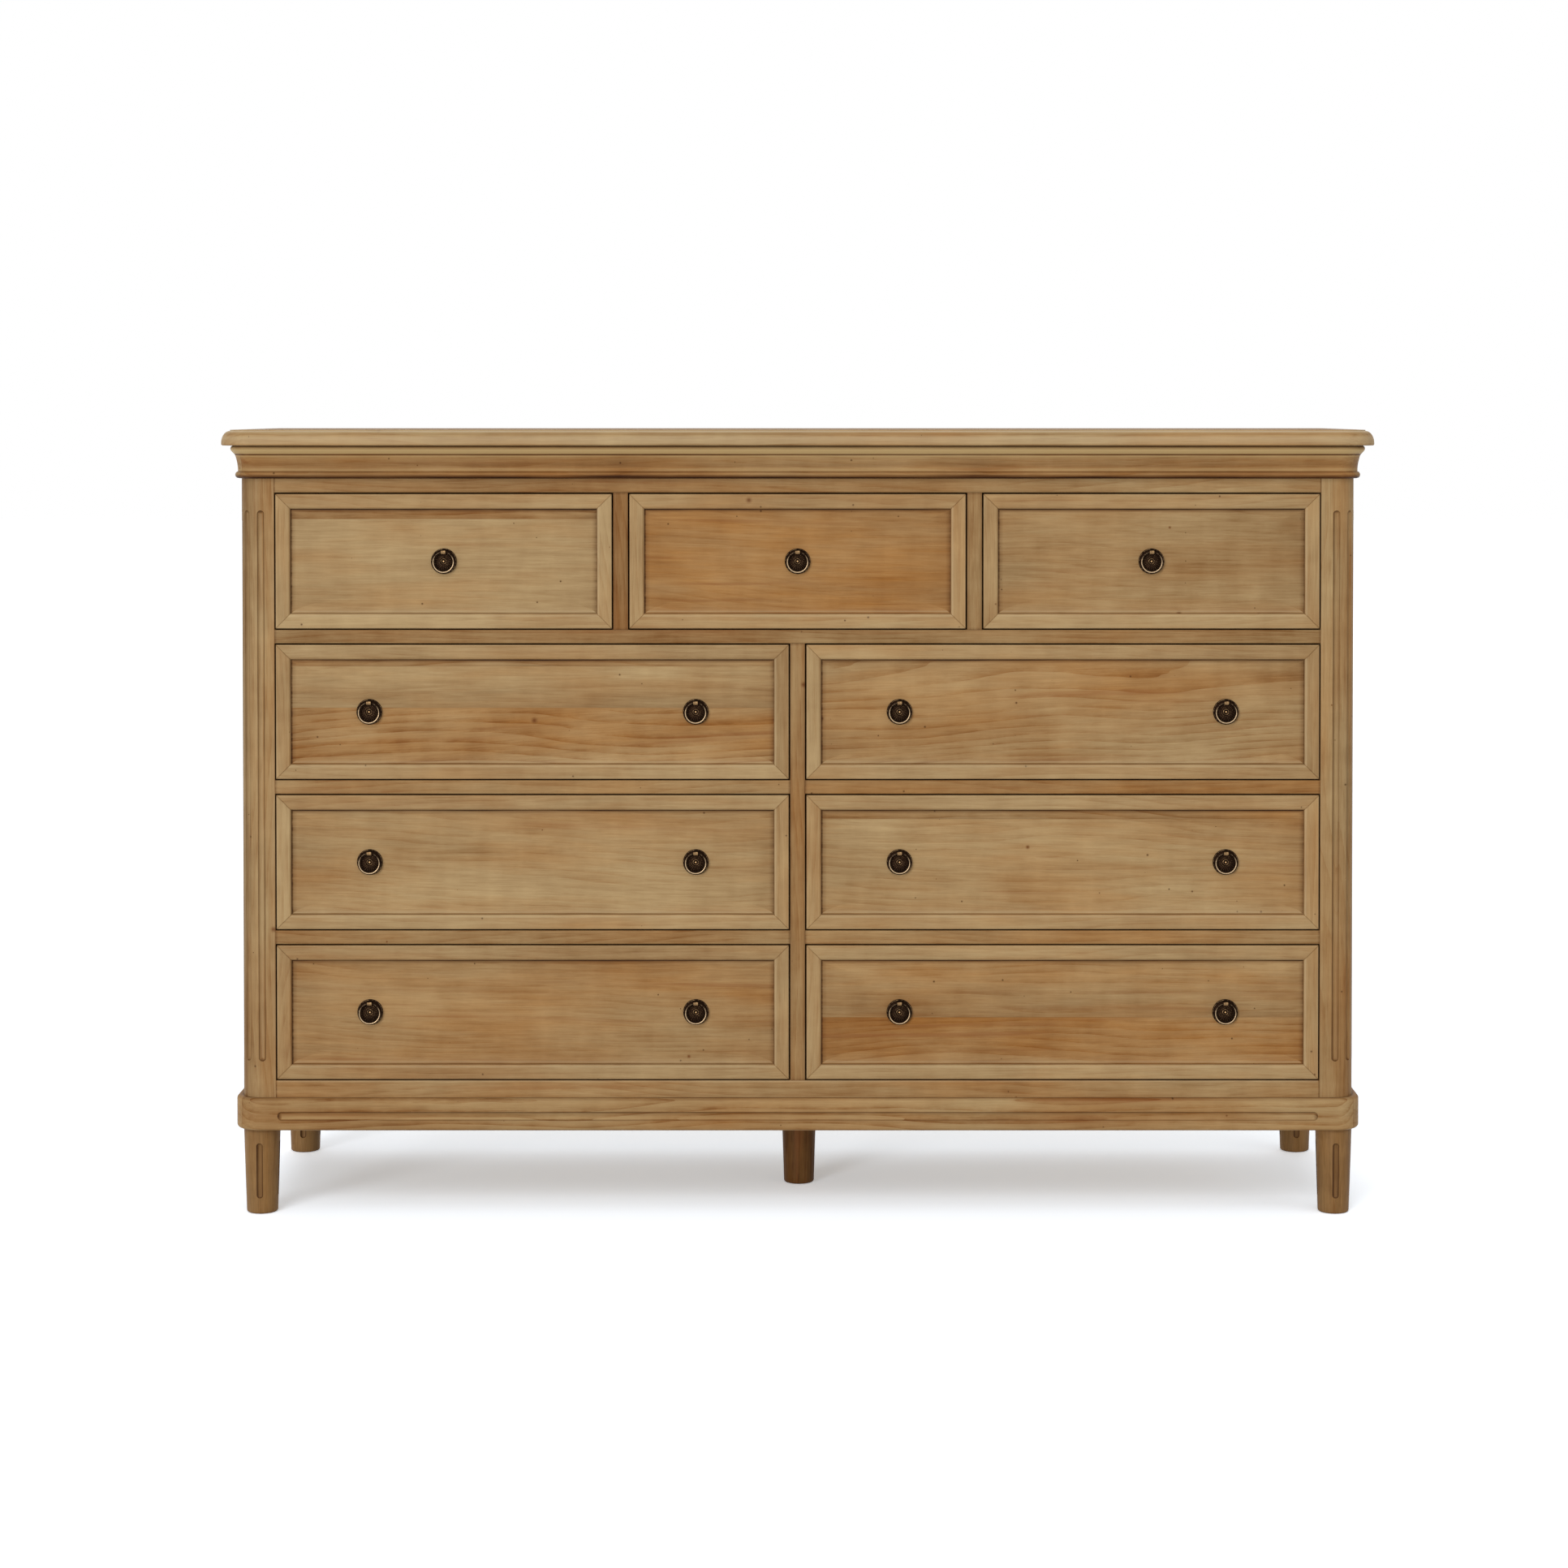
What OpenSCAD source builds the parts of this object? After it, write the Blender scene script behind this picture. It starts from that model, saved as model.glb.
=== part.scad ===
// Nine-drawer dresser: a wide, shallow case of fluted corner posts and rails on turned legs.
// Three small drawers lie over three rows of two wide drawers.
// Each drawer front is a mitred frame round a sunk flat panel, with bronze ring pulls.
// Units are millimetres. +X is to the right, +Z is up and the front faces -Y.
// The origin is on the floor, under the middle of the whole piece.

/* [Case] */
// Width over the outer faces of the corner posts
body_w = 1648; // [1400:1:2000]
// Depth from the posts' front faces to the case's back
body_d = 452; // [380:1:600]
// Height of the legs under the case
leg_h = 127; // [90:1:180]
// Width of a corner post, seen from the front
post_w = 52; // [46:1:80]
// Depth of a corner post, seen from the side
post_d = 52; // [46:1:54]
// Radius of the rounded outer corner of a front post
corner_r = 29; // [15:0.5:34]
// Height of the bottom rail that shows over the base moulding
bottom_reveal = 25; // [22:1:60]
// Height of the top rail that shows under the cornice
top_reveal = 21; // [10:1:50]
// Thickness of the top and bottom rails, front to back
rail_t = 25; // [18:1:36]

/* [Drawer openings] */
// Height of each drawer opening
opening_h = 202.5; // [160:0.5:260]
// Height of the rails between the rows
shelf_rail_h = 20; // [14:1:40]
// Depth of the rails between the rows, front to back
shelf_rail_d = 55; // [55:1:90]
// Width of the dividers and of the centre stile
divider_w = 22; // [14:1:44]

/* [Post flutes] */
// Width of a flute in a post
flute_w = 10; // [5:0.5:14]
// Depth of a flute in a post
flute_d = 3.5; // [1:0.5:5]
// Bare length of post under the flutes, above the base moulding
flute_foot = 53; // [20:1:150]
// Bare length of post over the flutes, below the cornice
flute_head = 47; // [20:1:150]

/* [Top] */
// Thickness of the top
top_t = 23; // [23:1:40]
// Overhang of the top at the front and the sides
top_overhang = 30; // [24:1:60]
// Overhang of the top at the back
top_back_overhang = 8; // [0:1:30]
// Width of the ovolo edge, seen from above
ovolo_w = 13; // [6:1:22]
// Height of the ovolo edge
ovolo_h = 18; // [8:1:18]
// Height of the small step above the ovolo
fillet_h = 1.5; // [1:0.5:3]
// Radius of the eased lower edge of the top
top_ease = 2; // [0.5:0.5:3]

/* [Cornice moulding] */
// Height of the bead at the foot of the cornice
bead_h = 10.3; // [6:0.1:16]
// How far the bead stands out from the case
bead_out = 9.5; // [8:0.5:16]
// Height of the cove
cove_h = 25; // [15:1:50]
// How far the foot of the cove stands out
cove_foot = 5.5; // [3:0.5:7]
// How far the head of the cove stands out
cove_head = 10; // [8:0.5:12]
// Height of the band under the top
band_h = 13.2; // [11:0.1:24]
// How far the band stands out
band_out = 16.5; // [15:0.5:22]
// Radius of the band's round nose
nose_r = 4.8; // [3:0.1:5]

/* [Base moulding] */
// Height of the base moulding
base_h = 48; // [30:1:80]
// How far the base moulding stands out from the case
base_out = 10; // [8:0.5:16]
// Radius of its eased top and bottom edges
base_ease = 5; // [2:0.5:7]
// Height of the long stopped flute in it
base_flute_h = 12.3; // [6:0.1:18]
// Depth of that flute
base_flute_d = 3; // [1:0.5:5]
// Height of that flute's middle above the foot of the moulding
base_flute_z = 22; // [14:1:40]
// Bare length of moulding from the case's side to the flute's end
base_flute_stop = 57; // [40:1:200]

/* [Legs] */
// Diameter of a leg at its top
leg_top_d = 54; // [46:1:60]
// Diameter of a leg at the floor
leg_foot_d = 46; // [36:1:54]
// Radius of the rounded foot edge
foot_ease = 3; // [1:0.5:6]
// Width of the flutes in the corner legs
leg_flute_w = 9; // [5:0.5:12]
// Depth of the flutes in the corner legs
leg_flute_d = 2.5; // [1:0.5:4]
// Height of the lower end of a leg flute
leg_flute_foot = 23; // [12:1:40]
// Bare length of leg over the flute
leg_flute_head = 20; // [12:1:40]
// Diameter of the pin that holds a leg in its post
pin_d = 25; // [16:1:28]
// Length of that pin
pin_l = 45; // [25:1:60]
// Distance from the case's front face back to the axis of the centre leg
centre_leg_back = 212; // [120:1:300]

/* [Side and back panels] */
// Thickness of the side rails
side_t = 22; // [18:1:30]
// Height of the upper side rail
side_top_rail_h = 112; // [80:1:160]
// Height of the lower side rail
side_foot_rail_h = 118; // [80:1:160]
// How far the side panel lies behind the side rails' faces
side_recess = 8; // [4:0.5:9]
// Thickness of the side panel
side_panel_t = 8; // [5:0.5:8]
// Thickness of the back boards
back_t = 12; // [6:1:16]
// Width by which the back boards lap into the back posts
back_lap = 10; // [6:1:20]
// Number of boards in the back
back_boards = 8; // [4:1:12]

/* [Drawer fronts] */
// Gap around each closed drawer front
front_gap = 2; // [1:0.25:4]
// Thickness of a drawer front
front_t = 20; // [18:0.5:26]
// How far a drawer front stands proud of the rails
front_proud = 1.5; // [0:0.5:6]
// Width of the mitred frame round the panel
frame_w = 22; // [16:0.5:40]
// Radius of the eased edges of the frame
frame_ease = 2; // [0.5:0.25:3]
// How far the panel lies behind the frame's face
panel_recess = 4.5; // [4:0.5:7]
// Thickness of the panel's tongue
tongue_t = 8; // [5:0.5:9]
// Length by which the groove reaches into the frame
groove_d = 6; // [4:0.5:10]
// Room for the panel to swell in its groove
swell_gap = 1; // [0.5:0.25:2]

/* [Drawer boxes] */
// Height of a drawer side
box_h = 180; // [120:1:190]
// How much lower the drawer's back is than its sides
box_back_drop = 12; // [0:1:40]
// Thickness of the board behind a drawer front
subfront_t = 14; // [12:1:18]
// Thickness of a drawer side and of a drawer back
box_side_t = 12; // [9:1:16]
// Length by which a side is let into the board behind the front
side_lap = 8; // [4:1:9]
// Thickness of a drawer bottom
bottom_t = 6; // [4:0.5:9]
// Height of a drawer bottom above the foot of its sides
bottom_rise = 8; // [5:1:15]
// Depth of the grooves that hold a drawer bottom
bottom_groove = 5; // [3:0.5:6]

/* [Running clearances] */
// Gap between a drawer side and its guide
guide_gap = 1.5; // [0.5:0.25:3]
// Gap between a drawer side and the runner below it
run_gap = 0.3; // [0.2:0.1:0.6]
// Gap between a closed drawer and its stop
stop_gap = 0.3; // [0.2:0.1:0.6]
// Glue line between the pieces of one joint
glue = 0.1; // [0.05:0.05:0.2]

/* [Runners and guides] */
// Width of a runner that lies under a drawer side
bearing_w = 30; // [20:1:60]
// Height of a guide over its runner
guide_h = 20; // [10:1:60]
// Width of a drawer stop
stop_w = 60; // [30:1:120]
// Height of a drawer stop
stop_h = 15; // [8:1:40]
// Length of a drawer stop, front to back
stop_l = 25; // [15:1:36]
// Width of the bearer that carries the centre leg
bearer_w = 70; // [56:1:100]

/* [Ring pulls] */
// Distance from a wide drawer's middle to each of its pulls
pull_offset = 241; // [120:1:280]
// Radius of a pull's backplate
plate_r = 19; // [17:0.5:24]
// Thickness of the backplate's rim
plate_rim_t = 1.6; // [1:0.2:2]
// Height of the backplate's crown
plate_crown = 3.2; // [2.4:0.2:3.6]
// Radius at which the crown ends
crown_r = 6.5; // [5:0.5:8]
// Depth of the ring groove between the crown and the bead
crown_dip = 0.6; // [0.2:0.1:1]
// Radius of the bead in the plate's middle
bead_r = 3.6; // [2.5:0.1:4]
// Height of that bead
plate_bead = 4.4; // [3.8:0.2:4.6]
// Height of the ring's pivot above the backplate's middle
pivot_up = 14; // [13:0.5:15]
// Distance of the ring's pivot in front of the panel
pivot_out = 7.5; // [7:0.5:12]
// Length of the lug that holds the ring
lug_l = 7; // [5:0.5:8]
// Outer radius of the lug
lug_r = 3.4; // [3.2:0.1:4.4]
// Radius of the ring from its centre to the middle of its wire
ring_r = 15; // [14:0.5:20]
// Diameter of the ring's wire
wire_d = 3; // [2:0.25:3.5]
// Gap between the wire and its hole in the lug
wire_gap = 0.65; // [0.55:0.05:0.9]
// Radius of the screw through the drawer front
screw_r = 2.25; // [1.5:0.25:3]
// Gap around that screw
screw_gap = 0.25; // [0.1:0.05:0.5]
// Radius of the nut on that screw
nut_r = 5; // [4.5:0.5:8]
// Thickness of that nut
nut_t = 3.5; // [2:0.5:6]
// Length of screw past the nut
screw_tail = 2; // [1:0.5:5]

/* [Hidden] */
$fn = 48;
// Number of straight steps in a moulded quarter round
STEPS = 6;
// Number of rows of drawers
ROWS = 4;
// Overlap that keeps a cut clear of a face
EPS = 1;

cornice_h = bead_h + cove_h + band_h;
side_x = body_w / 2;
open_x = side_x - post_w;
face_y = -(top_overhang + body_d + top_back_overhang) / 2 + top_overhang;
back_y = face_y + body_d;
top_back_y = back_y + top_back_overhang;
row_pitch = opening_h + shelf_rail_h;
field_z = leg_h + base_h + bottom_reveal;
field_top_z = field_z + ROWS * opening_h + (ROWS - 1) * shelf_rail_h;
cornice_z = field_top_z + top_reveal;
body_top_z = cornice_z + cornice_h;
top_r = corner_r + top_overhang;
case_h = body_top_z - leg_h;

half_w = (2 * open_x - divider_w) / 2;
third_w = (2 * open_x - 2 * divider_w) / 3;
third_divider_x = (third_w + divider_w) / 2;
back_rail_y = back_y - post_d;
back_board_y = back_y - back_t;
runner_y = face_y + shelf_rail_d;
runner_l = back_rail_y - runner_y;
side_inner_x = side_x - side_t;
top_row_z = field_z + (ROWS - 1) * row_pitch;

front_y = face_y - front_proud;
panel_y = front_y + panel_recess;
box_y = front_y + front_t;
box_l = back_rail_y - stop_gap - box_y;
pivot_y = panel_y - pivot_out;
// Angle that leaves a glue line at a moulding's mitre
mitre_gap = atan(glue / 2 / corner_r);

leg_inset = leg_top_d / 2;
pin_gap = 0.05;
pin_room = 2;

// Each drawer: name, row from the bottom, place of its left side, width of its opening
DRAWERS = [
    ["top_left", 3, -open_x, third_w],
    ["top_middle", 3, -third_w / 2, third_w],
    ["top_right", 3, open_x - third_w, third_w],
    ["upper_left", 2, -open_x, half_w],
    ["upper_right", 2, open_x - half_w, half_w],
    ["lower_left", 1, -open_x, half_w],
    ["lower_right", 1, open_x - half_w, half_w],
    ["bottom_left", 0, -open_x, half_w],
    ["bottom_right", 0, open_x - half_w, half_w],
];

function row_z(row) = field_z + row * row_pitch;
function drawer_z(d) = row_z(d[1]);
function drawer_x(d) = d[2] + d[3] / 2;
function drawer_mid_z(d) = drawer_z(d) + opening_h / 2;

// Places of a drawer's pulls, from its middle: the small drawers have one
function pull_places(d) = d[1] == ROWS - 1 ? [["", 0]] : [["_left", -pull_offset], ["_right", pull_offset]];

// Each ring: name, place across the case, height of its backplate's middle
RINGS = [
    for (d = DRAWERS) for (p = pull_places(d))
        [str(d[0], "_ring", p[0]), drawer_x(d) + p[1], drawer_mid_z(d)]
];

CASE_NODES = [
    "top_panel", "cornice_moulding", "base_moulding",
    "front_left_post", "front_right_post", "back_left_post", "back_right_post",
    "left_side_panel", "right_side_panel", "back_panel",
    "top_rail", "row_rails", "bottom_rail", "front_dividers",
    "runner_frames", "drawer_guides", "corner_legs", "centre_leg",
];

// Points along an arc, from one angle to another
function arc(x, y, r, from, to, n = STEPS) = [
    for (i = [0:n]) let (a = from + (to - from) * i / n) [x + r * cos(a), y + r * sin(a)]
];

// Radius of a round cutter that leaves a flute of this width and depth
function flute_radius(w, d) = (w * w / 4 + d * d) / (2 * d);

// A rod with round ends, from z = 0 to z = length, that cuts a stopped flute
module flute_rod(length, r) {
    rotate_extrude() polygon(concat(
        arc(0, r, r, -90, 0),
        arc(0, length - r, r, 0, 90)
    ));
}

// Draws its children for the left side, or mirrored for the right
module on_side(side) {
    if (side == "left") children();
    else mirror([1, 0, 0]) children();
}

// A box between two heights
module slab(x0, x1, y0, y1, z0, z1) {
    translate([x0, y0, z0]) cube([x1 - x0, y1 - y0, z1 - z0]);
}

// The outline of a moulding, given as points of (how far out, height)
module front_moulding(points) {
    translate([-(side_x - corner_r), face_y, 0])
        rotate([90, 0, 90])
            linear_extrude(2 * (side_x - corner_r))
                polygon([for (p = points) [-p[0], p[1]]]);
    for (side = ["left", "right"]) on_side(side) corner_moulding(points, 45 + mitre_gap);
}

module side_moulding(points) {
    translate([-side_x, back_y, 0])
        rotate([90, 0, 0])
            linear_extrude(body_d - corner_r)
                polygon([for (p = points) [-p[0], p[1]]]);
    corner_moulding(points, 0);
}

// Half of the rounded corner, as far as the mitre, from an angle counted from the side
module corner_moulding(points, from) {
    translate([-side_x + corner_r, face_y + corner_r, 0])
        rotate([0, 0, 180])
            rotate_extrude(angle = 45 - mitre_gap, start = from)
                polygon([for (p = points) [corner_r + p[0], p[1]]]);
}

// The top: the same ovolo edge along the front and both sides, round at the front corners
module top_panel() {
    half = side_x + top_overhang;
    edge = concat(
        [[0, 0]],
        arc(top_r - top_ease, top_ease, top_ease, -90, 0, 3),
        [for (i = [0:STEPS + 2]) let (a = 90 * i / (STEPS + 2))
            [top_r - ovolo_w * (1 - cos(a)), top_t - fillet_h - ovolo_h * (1 - sin(a))]],
        [[top_r - ovolo_w, top_t], [0, top_t]]
    );
    front = face_y - top_overhang;
    color("#9c7a52") translate([0, 0, body_top_z]) union() {
        slab(-half + top_r, half - top_r, front + top_r, top_back_y, 0, top_t);
        translate([-half + top_r, front + top_r, 0]) rotate([90, 0, 90])
            linear_extrude(2 * (half - top_r)) polygon([for (p = edge) [-p[0], p[1]]]);
        for (side = ["left", "right"]) on_side(side) {
            translate([-half + top_r, top_back_y, 0]) rotate([90, 0, 0])
                linear_extrude(top_back_y - front - top_r) polygon([for (p = edge) [-p[0], p[1]]]);
            translate([-half + top_r, front + top_r, 0]) rotate([0, 0, 180])
                rotate_extrude(angle = 90) polygon(edge);
        }
    }
}

// Bead, cove and nosed band, in three mitred lengths
module cornice_moulding() {
    round_r = bead_h / 2;
    z1 = cornice_z + bead_h;
    z2 = z1 + cove_h;
    z3 = z2 + band_h;
    points = concat(
        [[0, cornice_z], [bead_out - round_r, cornice_z]],
        arc(bead_out - round_r, cornice_z + round_r, round_r, -60, 60),
        [[cove_foot, z1]],
        [for (i = [1:STEPS]) let (t = i / STEPS)
            [cove_foot + (cove_head - cove_foot) * t * t, z1 + cove_h * t]],
        arc(band_out - nose_r, z3 - nose_r, nose_r, -50, 90),
        [[0, z3]]
    );
    color("#8c6a42") {
        front_moulding(points);
        for (side = ["left", "right"]) on_side(side) side_moulding(points);
    }
}

// Flat base moulding with eased edges and a long stopped flute in each face
module base_moulding() {
    e = base_ease;
    z1 = leg_h + base_h;
    points = concat(
        [[0, leg_h]],
        arc(base_out - e, leg_h + e, e, -90, 0),
        arc(base_out - e, z1 - e, e, 0, 90),
        [[0, z1]]
    );
    r = flute_radius(base_flute_h, base_flute_d);
    out = base_out + r - base_flute_d;
    z = leg_h + base_flute_z;
    color("#9a7a50") {
        difference() {
            front_moulding(points);
            translate([-side_x + base_flute_stop, face_y - out, z]) rotate([0, 90, 0])
                flute_rod(body_w - 2 * base_flute_stop, r);
        }
        for (side = ["left", "right"]) on_side(side) difference() {
            side_moulding(points);
            translate([-side_x - out, face_y + base_flute_stop, z]) rotate([-90, 0, 0])
                flute_rod(body_d - 2 * base_flute_stop, r);
        }
    }
}

// Groove in which the side panel sits
module side_panel_groove() {
    slab(-side_x + side_recess - glue, -side_x + side_recess + side_panel_t + glue,
        face_y + post_d - groove_d, back_rail_y + groove_d,
        leg_h + side_foot_rail_h - groove_d, body_top_z - side_top_rail_h + groove_d);
}

// Hole in a post's foot for the leg's pin
module leg_pin_hole(y) {
    translate([-side_x + leg_inset, y, leg_h - EPS])
        cylinder(r = pin_d / 2 + pin_gap, h = pin_l + pin_room + EPS);
}

// Front post with a round outer corner and three stopped flutes
module front_post(side) {
    foot_z = leg_h + base_h + flute_foot;
    r = flute_radius(flute_w, flute_d);
    color("#94744a") on_side(side) difference() {
        translate([-side_x, face_y, leg_h]) union() {
            translate([corner_r, corner_r, 0]) rotate([0, 0, 180])
                rotate_extrude(angle = 90) square([corner_r, case_h]);
            slab(corner_r, post_w, 0, post_d, 0, case_h);
            slab(0, corner_r, corner_r, post_d, 0, case_h);
        }
        translate([-side_x + corner_r, face_y + corner_r, foot_z])
            for (a = [0, 45, 90]) rotate([0, 0, -a]) translate([0, -corner_r - r + flute_d, 0])
                flute_rod(cornice_z - flute_head - foot_z, r);
        leg_pin_hole(face_y + leg_inset);
        side_panel_groove();
    }
}

// Square back post, rebated for the back boards
module back_post(side) {
    color("#8c6c46") on_side(side) difference() {
        slab(-side_x, -open_x, back_rail_y, back_y, leg_h, body_top_z);
        slab(-open_x - back_lap, -open_x + EPS, back_board_y, back_y + EPS, leg_h - EPS, body_top_z + EPS);
        leg_pin_hole(back_y - leg_inset);
        side_panel_groove();
    }
}

// Side of the case: two rails and a sunk flat panel
module side_panel(side) {
    y0 = face_y + post_d;
    foot_z = leg_h + side_foot_rail_h;
    head_z = body_top_z - side_top_rail_h;
    lap = groove_d - swell_gap;
    color("#9a7a50") on_side(side) {
        difference() {
            slab(-side_x, -side_inner_x, y0, back_rail_y, leg_h, foot_z);
            side_panel_groove();
        }
        difference() {
            slab(-side_x, -side_inner_x, y0, back_rail_y, head_z, body_top_z);
            side_panel_groove();
        }
        slab(-side_x + side_recess, -side_x + side_recess + side_panel_t,
            y0 - lap, back_rail_y + lap, foot_z - lap, head_z + lap);
    }
}

// Back: upright boards side by side in the back posts' rebates
module back_panel() {
    span = 2 * (open_x + back_lap);
    board = span / back_boards;
    color("#a08660") for (i = [0:back_boards - 1])
        slab(-span / 2 + i * board + swell_gap / 2, -span / 2 + (i + 1) * board - swell_gap / 2,
            back_board_y, back_y, leg_h, body_top_z);
}

// Rail under the top, behind the cornice
module top_rail() {
    color("#84623c") slab(-open_x, open_x, face_y, face_y + rail_t, field_top_z, body_top_z);
}

// Rails between the rows: the upper one runs through, the two lower ones meet the stile
module row_rails() {
    color("#8b6a42") {
        for (row = [1:ROWS - 2]) for (side = ["left", "right"]) on_side(side)
            slab(-open_x, -divider_w / 2, face_y, runner_y, row_z(row) - shelf_rail_h, row_z(row));
        slab(-open_x, open_x, face_y, runner_y, top_row_z - shelf_rail_h, top_row_z);
    }
}

// Rail under the bottom row, with the base moulding on its lower part
module bottom_rail() {
    color("#8f6e46") slab(-open_x, open_x, face_y, face_y + rail_t, leg_h, field_z);
}

// Centre stile through the three wide rows, and two short dividers in the top row
module front_dividers() {
    half = divider_w / 2;
    color("#8f6e46") {
        slab(-half, half, face_y, runner_y, field_z, top_row_z - shelf_rail_h);
        for (side = ["left", "right"]) on_side(side)
            slab(-third_divider_x - half, -third_divider_x + half, face_y, runner_y, top_row_z, field_top_z);
    }
}

// Runners on both sides of a divider, and the ones at the case's sides
module runners(z, from_y, divider_places, side_from_x) {
    half = divider_w / 2 + bearing_w;
    for (x = divider_places)
        slab(x - half, x + half, from_y + glue, back_rail_y - glue, z - shelf_rail_h, z);
    for (side = ["left", "right"]) on_side(side)
        slab(-side_from_x, -open_x + bearing_w, from_y + glue, back_rail_y - glue, z - shelf_rail_h, z);
}

// What carries the drawers: runners and a back rail at each level, kickers over the top row,
// and the bearer of the centre leg
module runner_frames() {
    thirds = [-third_divider_x, third_divider_x];
    bottom_y = face_y + rail_t;
    bearer_z = field_z - shelf_rail_h;
    color("#b09468") {
        runners(field_z, runner_y, [0], side_inner_x);
        for (row = [1:ROWS - 2]) runners(row_z(row), runner_y, [0], side_inner_x);
        runners(top_row_z, runner_y, thirds, side_inner_x);
        runners(field_top_z + shelf_rail_h, bottom_y, thirds, open_x);
        slab(-open_x, open_x, back_rail_y, back_board_y, leg_h, field_z);
        for (row = [1:ROWS - 1])
            slab(-open_x, open_x, back_rail_y, back_board_y, row_z(row) - shelf_rail_h, row_z(row));
        slab(-open_x, open_x, back_rail_y, back_board_y, field_top_z, body_top_z);
        slab(-open_x, open_x, bottom_y, runner_y, bearer_z, field_z);
        difference() {
            slab(-bearer_w / 2, bearer_w / 2, bottom_y, back_rail_y - glue, leg_h, bearer_z - glue);
            translate([0, face_y + centre_leg_back, leg_h - EPS])
                cylinder(r = pin_d / 2 + pin_gap, h = pin_l + pin_room + EPS);
        }
    }
}

// Guides beside the drawers, on the runners, and one stop behind each drawer
module drawer_guides() {
    half = divider_w / 2;
    color("#b09468") {
        for (row = [0:ROWS - 1]) for (side = ["left", "right"]) on_side(side)
            slab(-side_inner_x, -open_x, runner_y, back_rail_y, row_z(row), row_z(row) + guide_h);
        for (row = [0:ROWS - 2])
            slab(-half, half, runner_y, back_rail_y, row_z(row), row_z(row) + guide_h);
        for (x = [-third_divider_x, third_divider_x])
            slab(x - half, x + half, runner_y, back_rail_y, top_row_z, top_row_z + guide_h);
        for (d = DRAWERS)
            slab(drawer_x(d) - stop_w / 2, drawer_x(d) + stop_w / 2,
                back_rail_y, back_rail_y + stop_l, drawer_z(d), drawer_z(d) + stop_h);
    }
}

// A turned, tapered leg with a pin on top, standing at the origin
module leg(fluted) {
    foot_r = leg_foot_d / 2;
    head_r = leg_top_d / 2;
    lean = atan((head_r - foot_r) / leg_h);
    r = flute_radius(leg_flute_w, leg_flute_d);
    flute_r = foot_r + (head_r - foot_r) * leg_flute_foot / leg_h;
    difference() {
        rotate_extrude() polygon(concat(
            [[0, 0]],
            arc(foot_r - foot_ease, foot_ease, foot_ease, -90, 0, 4),
            [[head_r, leg_h], [pin_d / 2, leg_h], [pin_d / 2, leg_h + pin_l], [0, leg_h + pin_l]]
        ));
        if (fluted) for (a = [0:90:270]) rotate([0, 0, a])
            translate([0, -flute_r - r + leg_flute_d, leg_flute_foot]) rotate([lean, 0, 0])
                flute_rod(leg_h - leg_flute_head - leg_flute_foot, r);
    }
}

// Four fluted legs under the posts
module corner_legs() {
    color("#87663e") for (side = ["left", "right"]) on_side(side)
        for (y = [face_y + leg_inset, back_y - leg_inset])
            translate([-side_x + leg_inset, y, 0]) leg(true);
}

// Plain leg under the middle of the case
module centre_leg() {
    color("#6e5233") translate([0, face_y + centre_leg_back, 0]) leg(false);
}

// One mitred length of a drawer front's frame, along X, with its outer edge at z = 0
module frame_member(length) {
    e = frame_ease;
    back = front_t;
    tongue_front = panel_recess - glue;
    tongue_back = panel_recess + tongue_t + glue;
    section = concat(
        [[back, 0], [back, frame_w], [tongue_back, frame_w], [tongue_back, frame_w - groove_d],
            [tongue_front, frame_w - groove_d], [tongue_front, frame_w]],
        arc(e, frame_w - e, e, 90, 180, 3),
        arc(e, e, e, 180, 270, 3)
    );
    intersection() {
        rotate([90, 0, 90]) linear_extrude(length) polygon(section);
        translate([0, back + EPS, 0]) rotate([90, 0, 0]) linear_extrude(back + 2 * EPS)
            polygon([[glue - EPS, -EPS], [length - glue + EPS, -EPS],
                [length - glue - frame_w - EPS, frame_w + EPS], [glue + frame_w + EPS, frame_w + EPS]]);
    }
}

// A drawer front: four mitred frame members round a sunk panel, drilled for its pulls
module drawer_front(d) {
    w = d[3] - 2 * front_gap;
    h = opening_h - 2 * front_gap;
    lap = frame_w - groove_d + swell_gap;
    field = frame_w + swell_gap;
    tongue_y = panel_recess + tongue_t;
    color("#a88b61") translate([drawer_x(d), front_y, drawer_mid_z(d)]) {
        for (turn = [0, 180]) rotate([0, turn, 0])
            translate([-w / 2, 0, -h / 2]) frame_member(w);
        for (turn = [90, -90]) rotate([0, turn, 0])
            translate([-h / 2, 0, -w / 2]) frame_member(h);
        difference() {
            union() {
                slab(-w / 2 + lap, w / 2 - lap, panel_recess, tongue_y, -h / 2 + lap, h / 2 - lap);
                slab(-w / 2 + field, w / 2 - field, tongue_y, front_t, -h / 2 + field, h / 2 - field);
            }
            screw_holes(d, front_t);
        }
    }
}

// Holes for the pulls' screws, through everything from the front face to this depth
module screw_holes(d, depth) {
    for (p = pull_places(d))
        translate([p[1], depth + EPS, 0]) rotate([90, 0, 0])
            cylinder(r = screw_r + screw_gap, h = depth + 2 * EPS);
}

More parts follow.
